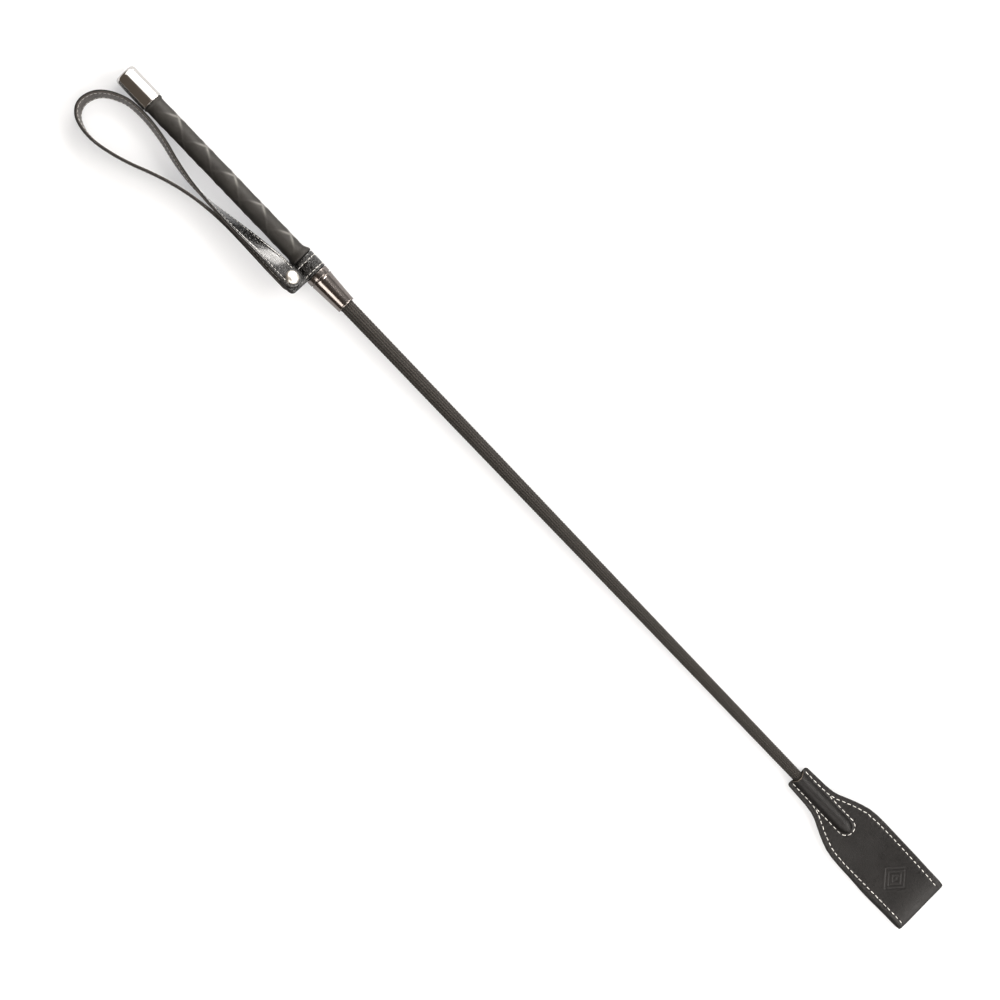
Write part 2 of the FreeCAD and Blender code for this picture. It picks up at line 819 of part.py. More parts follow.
os.makedirs("parts", exist_ok=True)
for name in NODES:
    piece = doc.getObjectsByLabel(name)[0]
    if piece.Shape.isNull() or not piece.Shape.isValid():
        raise ValueError("bad shape: " + name)
    piece.Shape.exportStep(f"parts/{name}.step")
    print(f"{name}: {len(piece.Shape.Solids)} solids, {piece.Shape.Volume:.1f} mm3")
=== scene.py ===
import math

import bmesh
import bpy
import numpy as np
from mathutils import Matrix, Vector


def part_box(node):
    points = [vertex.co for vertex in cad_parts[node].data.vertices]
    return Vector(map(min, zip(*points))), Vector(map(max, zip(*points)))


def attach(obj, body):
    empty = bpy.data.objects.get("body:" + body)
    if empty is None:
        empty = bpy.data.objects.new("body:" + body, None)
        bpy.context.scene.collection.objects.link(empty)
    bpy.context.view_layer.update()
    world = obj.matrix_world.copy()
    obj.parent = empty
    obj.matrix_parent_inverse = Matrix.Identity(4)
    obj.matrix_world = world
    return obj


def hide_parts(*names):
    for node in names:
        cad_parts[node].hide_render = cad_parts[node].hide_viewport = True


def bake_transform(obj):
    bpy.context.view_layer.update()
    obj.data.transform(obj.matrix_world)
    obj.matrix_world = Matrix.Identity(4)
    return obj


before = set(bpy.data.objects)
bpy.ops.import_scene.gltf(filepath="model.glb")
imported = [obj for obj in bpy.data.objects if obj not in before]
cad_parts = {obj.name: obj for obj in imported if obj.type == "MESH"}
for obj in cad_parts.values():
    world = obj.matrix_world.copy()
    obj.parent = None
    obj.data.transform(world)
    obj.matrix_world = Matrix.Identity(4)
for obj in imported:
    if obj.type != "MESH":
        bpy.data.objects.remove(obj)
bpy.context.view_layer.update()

# The riding crop's looks. +X runs from the butt to the flap, +Y away from the wrist loop,
# +Z up. Sizes here are in millimetres and become metres when a mesh is made.

MM = 0.001
TURN = 2 * math.pi
RANDOM = np.random.default_rng(7)
CORNER_STEPS = 6       # points on a rounded corner of a turned piece
CORNER_SHARE = 0.49    # the most of an edge that a corner takes
TWISTS_PER_MM = 0.9    # of the sewing thread
STITCH_RISE = 0.10     # of a stitch's middle above its row
STITCH_SUNK = 0.02     # of a row of stitches below the skin
GROOVE_SEAT = 0.16     # the same on the flap, whose grooves are deeper


def span(node, axis=0):
    """A node's lowest and highest coordinate along an axis, in millimetres."""
    low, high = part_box(node)
    return low[axis] / MM, high[axis] / MM


CAP_START, CAP_END = span("butt_cap")
GRIP_START, GRIP_END = span("grip_sleeve")
FERRULE_START, FERRULE_END = span("ferrule")
BAND_START, BAND_END = span("neck_band")
SHAFT_START, SHAFT_TIP = span("shaft_braid")
NECK_START = span("flap_neck_leather_front")[0]
FLAP_END = span("flap_blade_leather")[1]
CAP_RADIUS = span("butt_cap", 1)[1]
FLARE_RADIUS = span("grip_sleeve", 1)[1]
SKIRT_RADIUS = span("ferrule", 1)[1]
BLADE_HALF = span("flap_blade_leather", 1)[1]
FOLD_RADIUS = span("flap_blade_leather", 2)[1]


# ---- mesh helpers


def quads(rows, columns, ring=False):
    """Faces through closed sections of points, back to the first one in a ring."""
    faces = []
    for i in range(rows if ring else rows - 1):
        here, there = i * columns, (i + 1) % rows * columns
        for j in range(columns):
            k = (j + 1) % columns
            faces.append((here + j, here + k, there + k, there + j))
    return faces


def add_mesh(name, points, faces, materials, face_material=None, uvs=None, sharp=None):
    """A smooth mesh object from points in millimetres, with its seams closed."""
    mesh = bpy.data.meshes.new(name)
    mesh.from_pydata((np.asarray(points, float) * MM).tolist(), [], faces)
    for material in materials:
        mesh.materials.append(material)
    if face_material is not None:
        mesh.polygons.foreach_set("material_index", np.asarray(face_material, np.int32))
    if uvs is not None:
        layer = mesh.uv_layers.new(name="UVMap")
        corners = np.zeros(len(mesh.loops), np.int32)
        mesh.loops.foreach_get("vertex_index", corners)
        layer.data.foreach_set("uv", np.asarray(uvs, np.float32)[corners].ravel())
    tidy = bmesh.new()
    tidy.from_mesh(mesh)
    bmesh.ops.remove_doubles(tidy, verts=tidy.verts, dist=1e-8)
    bmesh.ops.recalc_face_normals(tidy, faces=tidy.faces)
    tidy.to_mesh(mesh)
    tidy.free()
    mesh.polygons.foreach_set("use_smooth", np.ones(len(mesh.polygons), bool))
    if sharp is not None:
        mesh.set_sharp_from_angle(angle=math.radians(sharp))
    return placed(name, mesh)


def placed(name, data):
    """A new object in the scene."""
    thing = bpy.data.objects.new(name, data)
    bpy.context.collection.objects.link(thing)
    return thing


def paint(piece, name, values):
    """Gives each point a value that the piece's material reads."""
    layer = piece.data.attributes.new(name, "FLOAT", "POINT")
    layer.data.foreach_set("value", values.astype(np.float32))


def stand_in(piece, slot, *nodes):
    """Shows a piece in place of CAD nodes by hiding them; the slot is not used."""
    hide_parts(*nodes)


def settle(piece, body, slot, *nodes):
    """Rides a piece on one body."""
    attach(piece, body)
    stand_in(piece, slot, *nodes)


def bend_with_flap(piece, slot, *nodes):
    """Bakes a flap piece's placement into its mesh and shows it in place of CAD nodes."""
    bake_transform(piece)
    stand_in(piece, slot, *nodes)


def sweep(sections, close_ends=True):
    """Points and faces of a solid through closed sections, an array (n, m, 3)."""
    rows, columns = sections.shape[:2]
    faces = quads(rows, columns)
    if close_ends:
        faces.append(tuple(range(columns)))
        faces.append(tuple((rows - 1) * columns + j for j in range(columns)))
    return sections.reshape(-1, 3), faces


def add_sweep(sections, points, faces):
    """Adds a solid through sections to lists of points and faces."""
    more, more_faces = sweep(sections)
    start = len(points) * len(more)
    points.append(more)
    faces += [tuple(start + v for v in face) for face in more_faces]


def spaced(along, around):
    """UVs of a grid, in millimetres along and around the piece."""
    return np.stack(np.meshgrid(along, around, indexing="ij"), -1).reshape(-1, 2)


def unit(vectors):
    return vectors / np.linalg.norm(vectors, axis=1)[:, None]


def rounded(corners):
    """A closed profile whose corners (x, y, radius) are rounded."""
    profile = []
    for index, (x, y, radius) in enumerate(corners):
        here = np.array([x, y])
        if radius == 0:
            profile.append(here)
            continue
        before = np.array(corners[index - 1][:2]) - here
        after = np.array(corners[(index + 1) % len(corners)][:2]) - here
        back, ahead = np.linalg.norm(before), np.linalg.norm(after)
        reach = min(radius, back * CORNER_SHARE, ahead * CORNER_SHARE)
        first = here + before / back * reach
        last = here + after / ahead * reach
        for t in np.linspace(0, 1, CORNER_STEPS):
            profile.append((1 - t) ** 2 * first + 2 * t * (1 - t) * here + t * t * last)
    return np.array(profile)


def about_axis(x, radius, angle):
    """Places about the X axis."""
    return np.stack(np.broadcast_arrays(x, radius * np.cos(angle), radius * np.sin(angle)), -1)


def lathe(name, corners, material, around=128):
    """A profile with rounded corners, (x, radius), turned about X."""
    x, radius = rounded(corners).T
    rings = about_axis(x, radius, np.linspace(0, TURN, around, endpoint=False)[:, None])
    faces = quads(*rings.shape[:2], ring=True)
    return add_mesh(name, rings.reshape(-1, 3), faces, [material], sharp=50)


def smoothstep(low, high, x):
    t = np.clip((x - low) / (high - low), 0, 1)
    return t * t * (3 - 2 * t)


def resample(points, gap):
    """Points about a gap apart along a polyline (n, k), and the distances along it."""
    steps = np.linalg.norm(np.diff(points[:, :3], axis=0), axis=1)
    distance = np.concatenate([[0], np.cumsum(steps)])
    count = max(2, int(round(distance[-1] / gap)) + 1)
    marks = np.linspace(0, distance[-1], count)
    spread = [np.interp(marks, distance, points[:, k]) for k in range(points.shape[1])]
    return np.column_stack(spread), marks


# ---- material helpers


def colour_ramp(tree, value, stops):
    """A colour for each value, from stops (position, colour)."""
    node = tree.nodes.new("ShaderNodeValToRGB")
    elements = node.color_ramp.elements
    while len(elements) < len(stops):
        elements.new(0.5)
    for element, (position, colour) in zip(elements, stops):
        element.position = position
        element.color = (*colour, 1)
    tree.links.new(value, node.inputs["Fac"])
    return node.outputs["Color"]


class Surface:
    """A material under construction: a Principled shader and what feeds it."""

    def __init__(self, name, roughness, metallic=0.0, specular=0.5):
        self.material = bpy.data.materials.new(name)
        self.material.use_nodes = True
        self.tree = self.material.node_tree
        self.shader = self.tree.nodes["Principled BSDF"]
        self.set("Roughness", roughness)
        self.set("Metallic", metallic)
        self.set("Specular IOR Level", specular)
        self.normal = None
        place = self.node("TexCoord", {})
        self.place = place.outputs["Object"]
        self.uv = place.outputs["UV"]

    def set(self, socket, value):
        self.shader.inputs[socket].default_value = value

    def node(self, kind, values, **settings):
        """A shader node with its settings and its sockets' values."""
        node = self.tree.nodes.new("ShaderNode" + kind)
        for key, value in settings.items():
            setattr(node, key, value)
        for socket, value in values.items():
            node.inputs[socket].default_value = value
        return node

    def link(self, source, target):
        self.tree.links.new(source, target)

    def stretched(self, source, scale, slope=0.0):
        """Coordinates scaled along each axis, and turned by a slope in degrees."""
        node = self.node("Mapping", {
            "Scale": [1 / s for s in scale], "Rotation": (0, 0, math.radians(slope)),
        }, vector_type="TEXTURE")
        self.link(source, node.inputs["Vector"])
        return node.outputs["Vector"]

    def noise(self, per_metre, detail=3.0, rough=0.55, source=None):
        node = self.node("TexNoise", {"Scale": per_metre, "Detail": detail, "Roughness": rough})
        self.link(source or self.place, node.inputs["Vector"])
        return node.outputs["Fac"]

    def pebbles(self, per_metre):
        """Rounded grains, high in the middle of each."""
        values = {"Scale": per_metre, "Smoothness": 0.25}
        node = self.node("TexVoronoi", values, feature="SMOOTH_F1")
        self.link(self.place, node.inputs["Vector"])
        return self.spread(node.outputs["Distance"], 1, 0, 0.05, 0.75)

    def waves(self, per_mm, direction, distortion=0.0):
        """Bands across the piece's own length or girth."""
        values = {"Scale": per_mm, "Distortion": distortion}
        node = self.node("TexWave", values, bands_direction=direction)
        self.link(self.uv, node.inputs["Vector"])
        return node.outputs["Fac"]

    def shades(self, value, colour, darker, lighter, low=0.3, high=0.7):
        """A colour's darker to lighter shades, by a value."""
        dark, light = ([c * shade for c in colour] for shade in (darker, lighter))
        return colour_ramp(self.tree, value, [(low, dark), (high, light)])

    def spread(self, value, low, high, start=0.3, stop=0.7):
        """A value mapped to a range."""
        node = self.node("MapRange", {
            "From Min": start, "From Max": stop, "To Min": low, "To Max": high,
        })
        self.link(value, node.inputs["Value"])
        return node.outputs["Result"]

    def mix(self, attribute, first, second):
        """One colour to another, by a value painted on the piece's points."""
        factor = self.node("Attribute", {}, attribute_name=attribute).outputs["Fac"]
        node = self.node("Mix", {}, data_type="RGBA")
        self.link(factor, node.inputs[0])
        self.link(first, node.inputs[6])
        self.link(second, node.inputs[7])
        return node.outputs[2]

    def colour(self, output):
        self.link(output, self.shader.inputs["Base Color"])

    def roughness(self, output):
        self.link(output, self.shader.inputs["Roughness"])

    def bump(self, height, depth_mm, strength=1.0):
        """Adds relief of a given depth over what is there already."""
        node = self.node("Bump", {"Strength": strength, "Distance": depth_mm * MM})
        self.link(height, node.inputs["Height"])
        if self.normal is not None:
            self.link(self.normal, node.inputs["Normal"])
        self.normal = node.outputs["Normal"]
        self.link(self.normal, self.shader.inputs["Normal"])


def metal(name, colour, roughness, haze, dents=0.05):
    """Polished metal with a faint haze, fine hairlines and handling marks."""
    surface = Surface(name, roughness, metallic=1.0)
    surface.colour(surface.shades(surface.noise(120, 4.0), colour, 0.93, 1.03))
    surface.roughness(surface.spread(surface.noise(420, 5.0), roughness, roughness + haze))
    lines = surface.noise(1.0, 2.0, source=surface.stretched(surface.place, (9000, 500, 500)))
    surface.bump(lines, 0.002, 0.12)
    surface.bump(surface.noise(160, 2.0), 0.02, dents)
    return surface.material


def rubber(name):
    """Matt moulded rubber: a fine satin grain and paler ridges, part wear and part painted
    highlight.
    """
    surface = Surface(name, 0.62, specular=0.42)
    mottle = surface.noise(95, 9.0, 0.74)
    base = [(0.25, (0.017, 0.0155, 0.014)), (0.75, (0.037, 0.0345, 0.031))]
    # Paler ridge shades: wear, and a painted highlight where the ridges catch the light.
    pale = [(0.2, (0.12, 0.116, 0.11)), (0.8, (0.17, 0.165, 0.155))]
    surface.colour(surface.mix(
        "ridge", *(colour_ramp(surface.tree, mottle, stops) for stops in (base, pale))
    ))
    surface.roughness(surface.spread(surface.noise(300, 4.0), 0.52, 0.68))
    for slope in (38, -38):
        hatch = surface.stretched(surface.uv, (0.22, 2.2, 1.0), slope)
        surface.bump(surface.noise(1.0, 3.0, source=hatch), 0.12, 0.6)
    surface.bump(surface.noise(1500, 3.0), 0.08, 0.7)
    return surface.material


def grained_leather(
    name, colour, roughness, pebble_mm, depth_mm, crease=0.3, gloss=0.0, specular=0.5
):
    """Leather with rounded pebbles, fine pores and long soft creases."""
    surface = Surface(name, roughness, specular=specular)
    surface.set("Coat Weight", gloss)
    surface.set("Coat Roughness", 0.16)
    surface.set("Coat IOR", 1.7)
    surface.colour(surface.shades(surface.noise(70, 5.0), colour, 0.7, 1.35, 0.28, 0.72))
    tone = surface.noise(240, 4.0)
    surface.roughness(surface.spread(tone, roughness - 0.05, roughness + 0.09))
    warp = surface.stretched(surface.place, (0.8, 1.0, 1.0))
    surface.bump(surface.noise(130, 3.0, source=warp), 0.25, crease)
    surface.bump(surface.pebbles(1000 / pebble_mm), depth_mm)
    surface.bump(surface.noise(6000, 2.0), depth_mm * 0.12, 0.5)
    return surface.material


def cut_edge(name, colour):
    """The fibrous cut edge of leather, under worn edge paint."""
    surface = Surface(name, 0.7)
    surface.colour(surface.shades(surface.noise(900, 5.0), colour, 0.6, 1.5))
    surface.bump(surface.noise(3500, 4.0), 0.06, 0.6)
    return surface.material


def thread(name, colour):
    """Waxed sewing thread: two twisted plies, by the stitch's own length and girth."""
    surface = Surface(name, 0.5, specular=0.35)
    surface.set("Sheen Weight", 0.25)
    surface.colour(surface.shades(surface.noise(700, 4.0), colour, 0.78, 1.08))
    surface.bump(surface.waves(TWISTS_PER_MM, "DIAGONAL"), 0.09, 0.8)
    surface.bump(surface.noise(9000, 2.0), 0.02, 0.5)
    return surface.material


def braid_yarn(name, colour):
    """A flat carrier of many fine filaments that run along the strand, with painted shade where it
    dips under the other strands.
    """
    surface = Surface(name, 0.55, specular=0.4)
    surface.set("Sheen Weight", 0.12)
    surface.set("Sheen Roughness", 0.4)
    streak = surface.noise(1.0, 4.0, source=surface.stretched(surface.uv, (1.5, 9.0, 1.0)))
    bright = surface.shades(streak, colour, 0.62, 1.5, high=0.72)
    # Painted shade: the strand is drawn far darker where it dives under the others.
    painted_dip_shade = surface.shades(streak, colour, 0.12, 0.25, high=0.72)
    surface.colour(surface.mix("crest", painted_dip_shade, bright))
    surface.bump(surface.waves(2.6, "Y", 0.6), 0.05, 0.7)
    surface.bump(surface.noise(5200, 2.0), 0.02, 0.5)
    return surface.material


def plain_core(name, colour, roughness):
    """Turned plastic or glass rod with a little tooling texture."""
    surface = Surface(name, roughness)
    surface.colour(surface.shades(surface.noise(200, 3.0), colour, 0.85, 1.1))
    surface.bump(surface.noise(1500, 3.0), 0.02, 0.4)
    return surface.material


CHROME = metal("polished_chrome", (0.62, 0.61, 0.60), 0.07, 0.05)
NICKEL = metal("black_nickel", (0.255, 0.232, 0.22), 0.16, 0.04, dents=0.02)
RIVET = metal("rivet_nickel", (0.74, 0.72, 0.68), 0.36, 0.06)
RUBBER = rubber("grip_rubber")
STRAP = grained_leather("strap_leather", (0.006, 0.0056, 0.0055), 0.18, 1.45, 0.62, 0.3, 1.0)
BACKING = grained_leather("strap_backing", (0.060, 0.053, 0.048), 0.34, 0.9, 0.18, 0.3)
BAND = grained_leather("band_leather", (0.005, 0.0046, 0.0044), 0.24, 1.25, 0.50, 0.3, 0.35)
FLAP = grained_leather(
    "flap_leather", (0.0095, 0.0084, 0.0080), 0.45, 0.45, 0.06, 0.12, specular=0.40
)
LINING = grained_leather("flap_lining", (0.010, 0.0095, 0.009), 0.62, 0.5, 0.08, 0.2)
EDGE = cut_edge("leather_edge", (0.018, 0.0165, 0.0155))
BACKING_EDGE = cut_edge("backing_edge", (0.050, 0.045, 0.041))
RAW_EDGE = cut_edge("raw_leather_edge", (0.085, 0.070, 0.058))
THREAD = thread("white_thread", (0.52, 0.51, 0.49))
YARN = braid_yarn("braid_yarn", (0.050, 0.044, 0.038))
BRAID_BED = plain_core("braid_bed", (0.006, 0.005, 0.0045), 0.8)
CORE = plain_core("core_plastic", (0.05, 0.05, 0.05), 0.5)
ROD = plain_core("rod_fibreglass", (0.55, 0.53, 0.44), 0.4)


# ---- handle metalwork


def butt_cap():
    start, end, radius, wall = CAP_START, CAP_END, CAP_RADIUS, 0.75
    inside = radius - wall
    cap = lathe("butt_cap_shell", [
        (start + 0.30, 0, 0), (start + 0.35, radius * 0.2, 0.8),
        (start + 0.5, radius - 0.02, 3.0), (end - 1.15, radius - 0.02, 0.25),
        (end - 0.95, radius + 0.10, 0.12), (end - 0.12, radius + 0.10, 0.12),
        (end, radius - 0.15, 0.10), (end, inside, 0.1), (start + 2.6, inside, 0.5),
        (start + wall + 0.5, inside - 1.9, 0.5), (start + wall + 0.5, 0, 0),
    ], CHROME)
    settle(cap, "crop", "cap_metal", "butt_cap")


def ferrule():
    start, end, skirt, cone = FERRULE_START, FERRULE_END, SKIRT_RADIUS, CAP_RADIUS
    groove, sunk, mouth, bore = start + 3.55, skirt - 0.65, 5.5, 4.35
    shell = lathe("ferrule_shell", [
        (start, skirt - 0.75, 0.1), (start, skirt, 0.3), (groove - 0.15, skirt, 0.25),
        (groove + 0.10, sunk, 0.12), (groove + 0.50, sunk, 0.12),
        (groove + 0.70, cone + 0.08, 0.25), (groove + 1.35, cone + 0.05, 0.25),
        (groove + 1.75, cone - 0.12, 0.3), (end - 0.9, mouth + 0.06, 0.3),
        (end - 0.45, mouth + 0.14, 0.2), (end, mouth - 0.05, 0.3), (end, bore, 0.15),
        (end - 1.6, bore, 0.2), (start + 10, skirt - 0.9, 0.3),
    ], NICKEL)
    settle(shell, "crop", "ferrule_metal", "ferrule")


# ---- grip sleeve

RIDGE_LEAD = 45.5
RIDGE_STARTS = 2       # ridges wound each way
RIDGE_PHASE = 40.1     # x of a crossing
RIDGE_CROSSING = math.radians(30)   # how far above +Y that crossing is
RIDGE_HEIGHT = 0.18
RIDGE_WIDTH = 0.8


def grip_sleeve():
    """The sleeve: a left-hand and a right-hand moulded ridge, a lip and a flared stop."""
    body_radius = 5.6
    start, end, flare = GRIP_START, GRIP_END, FLARE_RADIUS
    outline = np.array([
        (start, 5.9), (start + 0.15, 6.2), (start + 0.8, 6.3), (start + 1.4, 6.15),
        (start + 1.75, 5.75), (start + 2.3, body_radius), (end - 5.4, body_radius),
        (end - 4.2, body_radius + 0.25), (end - 3.0, body_radius + 0.85),
        (end - 2.0, body_radius + 1.38), (end - 1.3, flare - 0.05), (end - 0.75, flare),
        (end - 0.25, flare - 0.25), (end, flare - 0.8),
    ])
    along = np.concatenate([
        np.linspace(start, start + 2.6, 14, endpoint=False),
        np.linspace(start + 2.6, end - 5.6, 420, endpoint=False),
        np.linspace(end - 5.6, end, 34),
    ])
    radius = np.interp(along, *outline.T)
    angles = np.linspace(-math.pi / 2, 1.5 * math.pi, 180, endpoint=False)
    x, angle = np.meshgrid(along, angles, indexing="ij")
    slant = math.sin(math.atan2(RIDGE_LEAD, TURN * body_radius))
    ridge = np.zeros_like(x)
    share = TURN / RIDGE_STARTS
    for hand in (-1, 1):
        turn = TURN * (x - RIDGE_PHASE) / RIDGE_LEAD * hand
        away = (angle - RIDGE_CROSSING - turn + share / 2) % share - share / 2
        distance = np.abs(away) * body_radius * slant
        ridge = np.maximum(ridge, np.exp(-(distance / RIDGE_WIDTH) ** 2))
    fade = smoothstep(start + 2.2, start + 5, x) * (1 - smoothstep(end - 6.5, end - 4.0, x))
    ridge *= fade
    wobble = 0.03 * np.sin(x * 0.41) * np.cos(angle * 2) + 0.03 * np.sin(x * 0.17 + angle)
    r = radius[:, None] + ridge * RIDGE_HEIGHT + wobble * fade
    bore = np.full((2, len(angles)), 4.45)
    along = np.append(along, (end, start))
    rings = about_axis(along[:, None], np.concatenate([r, bore]), angles)
    faces = quads(*rings.shape[:2], ring=True)
    uvs = spaced(along, angles * body_radius)
    sleeve = add_mesh(
        "grip_sleeve_moulded", rings.reshape(-1, 3), faces, [RUBBER], uvs=uvs, sharp=55
    )
    # Painted highlight: the ridges grow paler toward +Y, the side the light falls on; the rest of
    # their paleness is wear.
    lit_side_share = 0.05 + 0.95 * smoothstep(0.1, 0.85, np.cos(angle))
    worn = ridge ** 0.9 * lit_side_share
    paint(sleeve, "ridge", np.append(worn, np.zeros(bore.size)))
    settle(sleeve, "crop", "grip_rubber", "grip_sleeve")


# ---- shaft

CARRIERS = 8           # strands wound each way
SHAFT_RADIUS = 4.24    # at the ferrule's mouth
SHAFT_TAPER = 0.0028
SHAFT_BELLY = 0.13     # the most the shaft stands out of a straight taper
BELLY_MIDDLE = 292.0
BELLY_SPREAD = 75.0
BRAID_PITCH = 1.25     # between crossings in one rib, 80 mm along the shaft
BRAID_STRETCH = 0.00025
STRAND_WIDTH = 1.30
STRAND_THICKNESS = 0.42
STRAND_DIVE = 0.55
OVER_LENGTH = 0.165    # of the pitch, from a rib's crest to its flank
HIDDEN_IN_FLAP = 12.0


def shaft_radius(x):
    belly = SHAFT_BELLY * np.exp(-((x - BELLY_MIDDLE) / BELLY_SPREAD) ** 2)
    return SHAFT_RADIUS - SHAFT_TAPER * (x - FERRULE_END) + belly


def braid_strands(hand):
    """The strands wound one way: each passes over and under the strands of the other."""
    x = np.linspace(FERRULE_END - 2.0, NECK_START + HIDDEN_IN_FLAP, 2001)
    pitch = BRAID_PITCH + BRAID_STRETCH * (x - FERRULE_END - 80)
    phase = np.concatenate([[0], np.cumsum(np.diff(x) * 2 / (pitch[1:] + pitch[:-1]))])
    crest = phase if hand > 0 else phase - 0.5
    away = crest - np.round(crest)
    depth = 1 - np.exp(-(away / OVER_LENGTH) ** 2)
    middle = shaft_radius(x) - STRAND_THICKNESS / 2 - depth * STRAND_DIVE
    turn = hand * TURN * phase / CARRIERS
    around = np.linspace(0, TURN, 6, endpoint=False)
    across = np.cos(around) * STRAND_WIDTH / 2
    up = np.sign(np.sin(around)) * np.abs(np.sin(around)) ** 0.6 * STRAND_THICKNESS / 2
    slope = np.arctan2(TURN * middle / CARRIERS, pitch)
    # Share of the yarn's colour left unshaded: 1 on a crest, 0 where the strand dives; the yarn
    # paints shade from it.
    crest_unshaded = np.repeat(smoothstep(0.8, 0.15, depth), len(around))
    points, faces, uvs = [], [], []
    for strand in range(CARRIERS):
        narrow = 1 + 0.05 * np.sin(x * 0.9 + strand * 2.1)
        shift = -np.outer(np.sin(slope) * hand * narrow, across)
        swing = np.outer(np.cos(slope) * narrow / middle, across)
        angle = (turn + TURN * strand / CARRIERS)[:, None] + swing
        add_sweep(about_axis(x[:, None] + shift, middle[:, None] + up, angle), points, faces)
        uvs.append(spaced(phase * 2 + strand * 3.7, np.abs(around / math.pi - 1)))
    return np.concatenate(points), faces, np.concatenate(uvs), np.tile(crest_unshaded, CARRIERS)


def shaft():
    for hand, side in ((1, "right"), (-1, "left")):
        points, faces, uvs, crest_unshaded = braid_strands(hand)
        strands = add_mesh("braid_strands_" + side, points, faces, [YARN], uvs=uvs)
        paint(strands, "crest", crest_unshaded)
        settle(strands, "crop", "braid_thread", "shaft_braid")
    inside = 0.78
    bed = lathe("braid_bed", [
        (SHAFT_START, shaft_radius(SHAFT_START) - inside, 0),
        (SHAFT_TIP, shaft_radius(SHAFT_TIP) - inside, 0.3),
        (SHAFT_TIP, shaft_radius(SHAFT_TIP) - 1.0, 0),
        (SHAFT_START, shaft_radius(SHAFT_START) - 1.0, 0),
    ], BRAID_BED, around=48)
    settle(bed, "crop", "braid_thread", "shaft_braid")


# ---- wrist strap

TILT = 27.0
RIVET_ALONG = 149.4
RIVET_REACH = 14.3
STACK_HALF = 2.55      # from the tab's middle to the middle of each strap end
OUTWARD = np.array([0, -math.cos(math.radians(TILT)), math.sin(math.radians(TILT))])
RIVET_AXIS = np.array([0, math.sin(math.radians(TILT)), math.cos(math.radians(TILT))])
RIVET_CENTRE = np.array([RIVET_ALONG, 0, 0]) + OUTWARD * RIVET_REACH
STRAP_UPPER = RIVET_CENTRE + RIVET_AXIS * STACK_HALF
STRAP_LOWER = RIVET_CENTRE - RIVET_AXIS * STACK_HALF
STRAP_FLAT = 141.0
STRAP_HALF = 5.5
STRAP_SKIN = 0.85
STRAP_ROW = 4.1        # from the strap's middle to each row of stitches
STRAP_COLUMNS = 41     # across a ply's face
STRAP_END_TURN = math.pi / 2 * 0.97   # how far round its end the strap is drawn
SPAN_STEPS = 7         # between two points of the strap's route
ALONG = np.array([1.0, 0.0, 0.0])
UP = np.array([0.0, 0.0, 1.0])

# The strap's middle line: x, y, z and the turn of its width in degrees. It leans outward
# round the bight, so that the backing shows from above.
STRAP_ROUTE = np.array([
    (STRAP_FLAT, STRAP_UPPER[1], STRAP_UPPER[2], 180 - TILT),
    (129.7, -12.1, 7.9, 138), (112.9, -13.5, 4.9, 123), (98.0, -14.7, 1.9, 107),
    (84.8, -15.6, -0.3, 94), (70.0, -15.2, -1.5, 85), (56.7, -13.3, -1.8, 80),
    (45.5, -10.8, -1.8, 78), (34.3, -9.1, -1.8, 77), (24.7, -8.6, -1.8, 77),
    (14.5, -9.5, -1.8, 77), (6.5, -12.6, -1.9, 76), (1.1, -16.4, -1.9, 75),
    (-2.3, -20.9, -1.9, 73), (-3.9, -26.6, -2.0, 72), (-3.0, -31.4, -1.9, 74),
    (0.9, -35.8, -1.8, 81), (8.5, -38.4, -1.7, 88), (17.4, -38.5, -1.7, 90),
    (28.6, -36.2, -1.7, 90), (39.9, -32.6, -1.7, 90), (51.1, -28.1, -1.7, 90),
    (62.3, -24.1, -1.7, 90), (73.6, -21.1, -1.6, 90), (84.8, -19.1, -1.2, 90),
    (98.0, -17.6, 0.0, 86), (112.9, -16.6, 1.8, 77), (129.7, -15.0, 3.6, 52),
    (STRAP_FLAT, STRAP_LOWER[1], STRAP_LOWER[2], TILT),
])


def smooth_route(points):
    """A smooth curve through the points: places (n, 4) and directions (n, 3)."""
    spans = np.linalg.norm(np.diff(points[:, :3], axis=0), axis=1)
    slope = np.zeros_like(points)
    slope[1:-1] = (points[2:] - points[:-2]) / (spans[:-1] + spans[1:])[:, None]
    slope[0, 0], slope[-1, 0] = -1, 1
    places, ways = [], []
    for i, length in enumerate(spans):
        last = i == len(spans) - 1
        for u in np.linspace(0, 1, SPAN_STEPS + 1)[: SPAN_STEPS + 1 if last else SPAN_STEPS]:
            a, b, sa, sb = points[i], points[i + 1], slope[i], slope[i + 1]
            places.append(
                a * (2 * u**3 - 3 * u**2 + 1) + b * (3 * u**2 - 2 * u**3)
                + length * (sa * (u**3 - 2 * u**2 + u) + sb * (u**3 - u**2))
            )
            way = (b - a) * (6 * u - 6 * u**2) / length
            ways.append(way + sa * (3 * u**2 - 4 * u + 1) + sb * (3 * u**2 - 2 * u))
    return np.array(places), unit(np.array(ways)[:, :3])


def strap_frames():
    """Along the strap, its round ends included: middle, width way, face way, half width."""
    places, ways = smooth_route(STRAP_ROUTE)
    level = unit(np.cross(ways, UP))
    turn = np.radians(places[:, 3])[:, None]
    width = level * np.cos(turn) + UP * np.sin(turn)
    width = unit(width - ways * np.sum(ways * width, axis=1)[:, None])
    face = np.cross(ways, width)
    lead = RIVET_ALONG - STRAP_FLAT
    swing = np.linspace(0, STRAP_END_TURN, 12)[1:]
    straight = np.linspace(0, lead, 6)[1:]
    extra = np.concatenate([straight, lead + STRAP_HALF * np.sin(swing)])
    end_half = np.concatenate([np.full(len(straight), STRAP_HALF), STRAP_HALF * np.cos(swing)])
    first, last = (places[end, :3] + extra[:, None] * ALONG for end in (0, -1))
    middle = np.concatenate([first[::-1], places[:, :3], last])
    added = (len(extra), len(extra))
    width, face = (np.pad(way, (added, (0, 0)), "edge") for way in (width, face))
    half = np.concatenate([end_half[::-1], np.full(len(places), STRAP_HALF), end_half])
    return middle, width, face, half


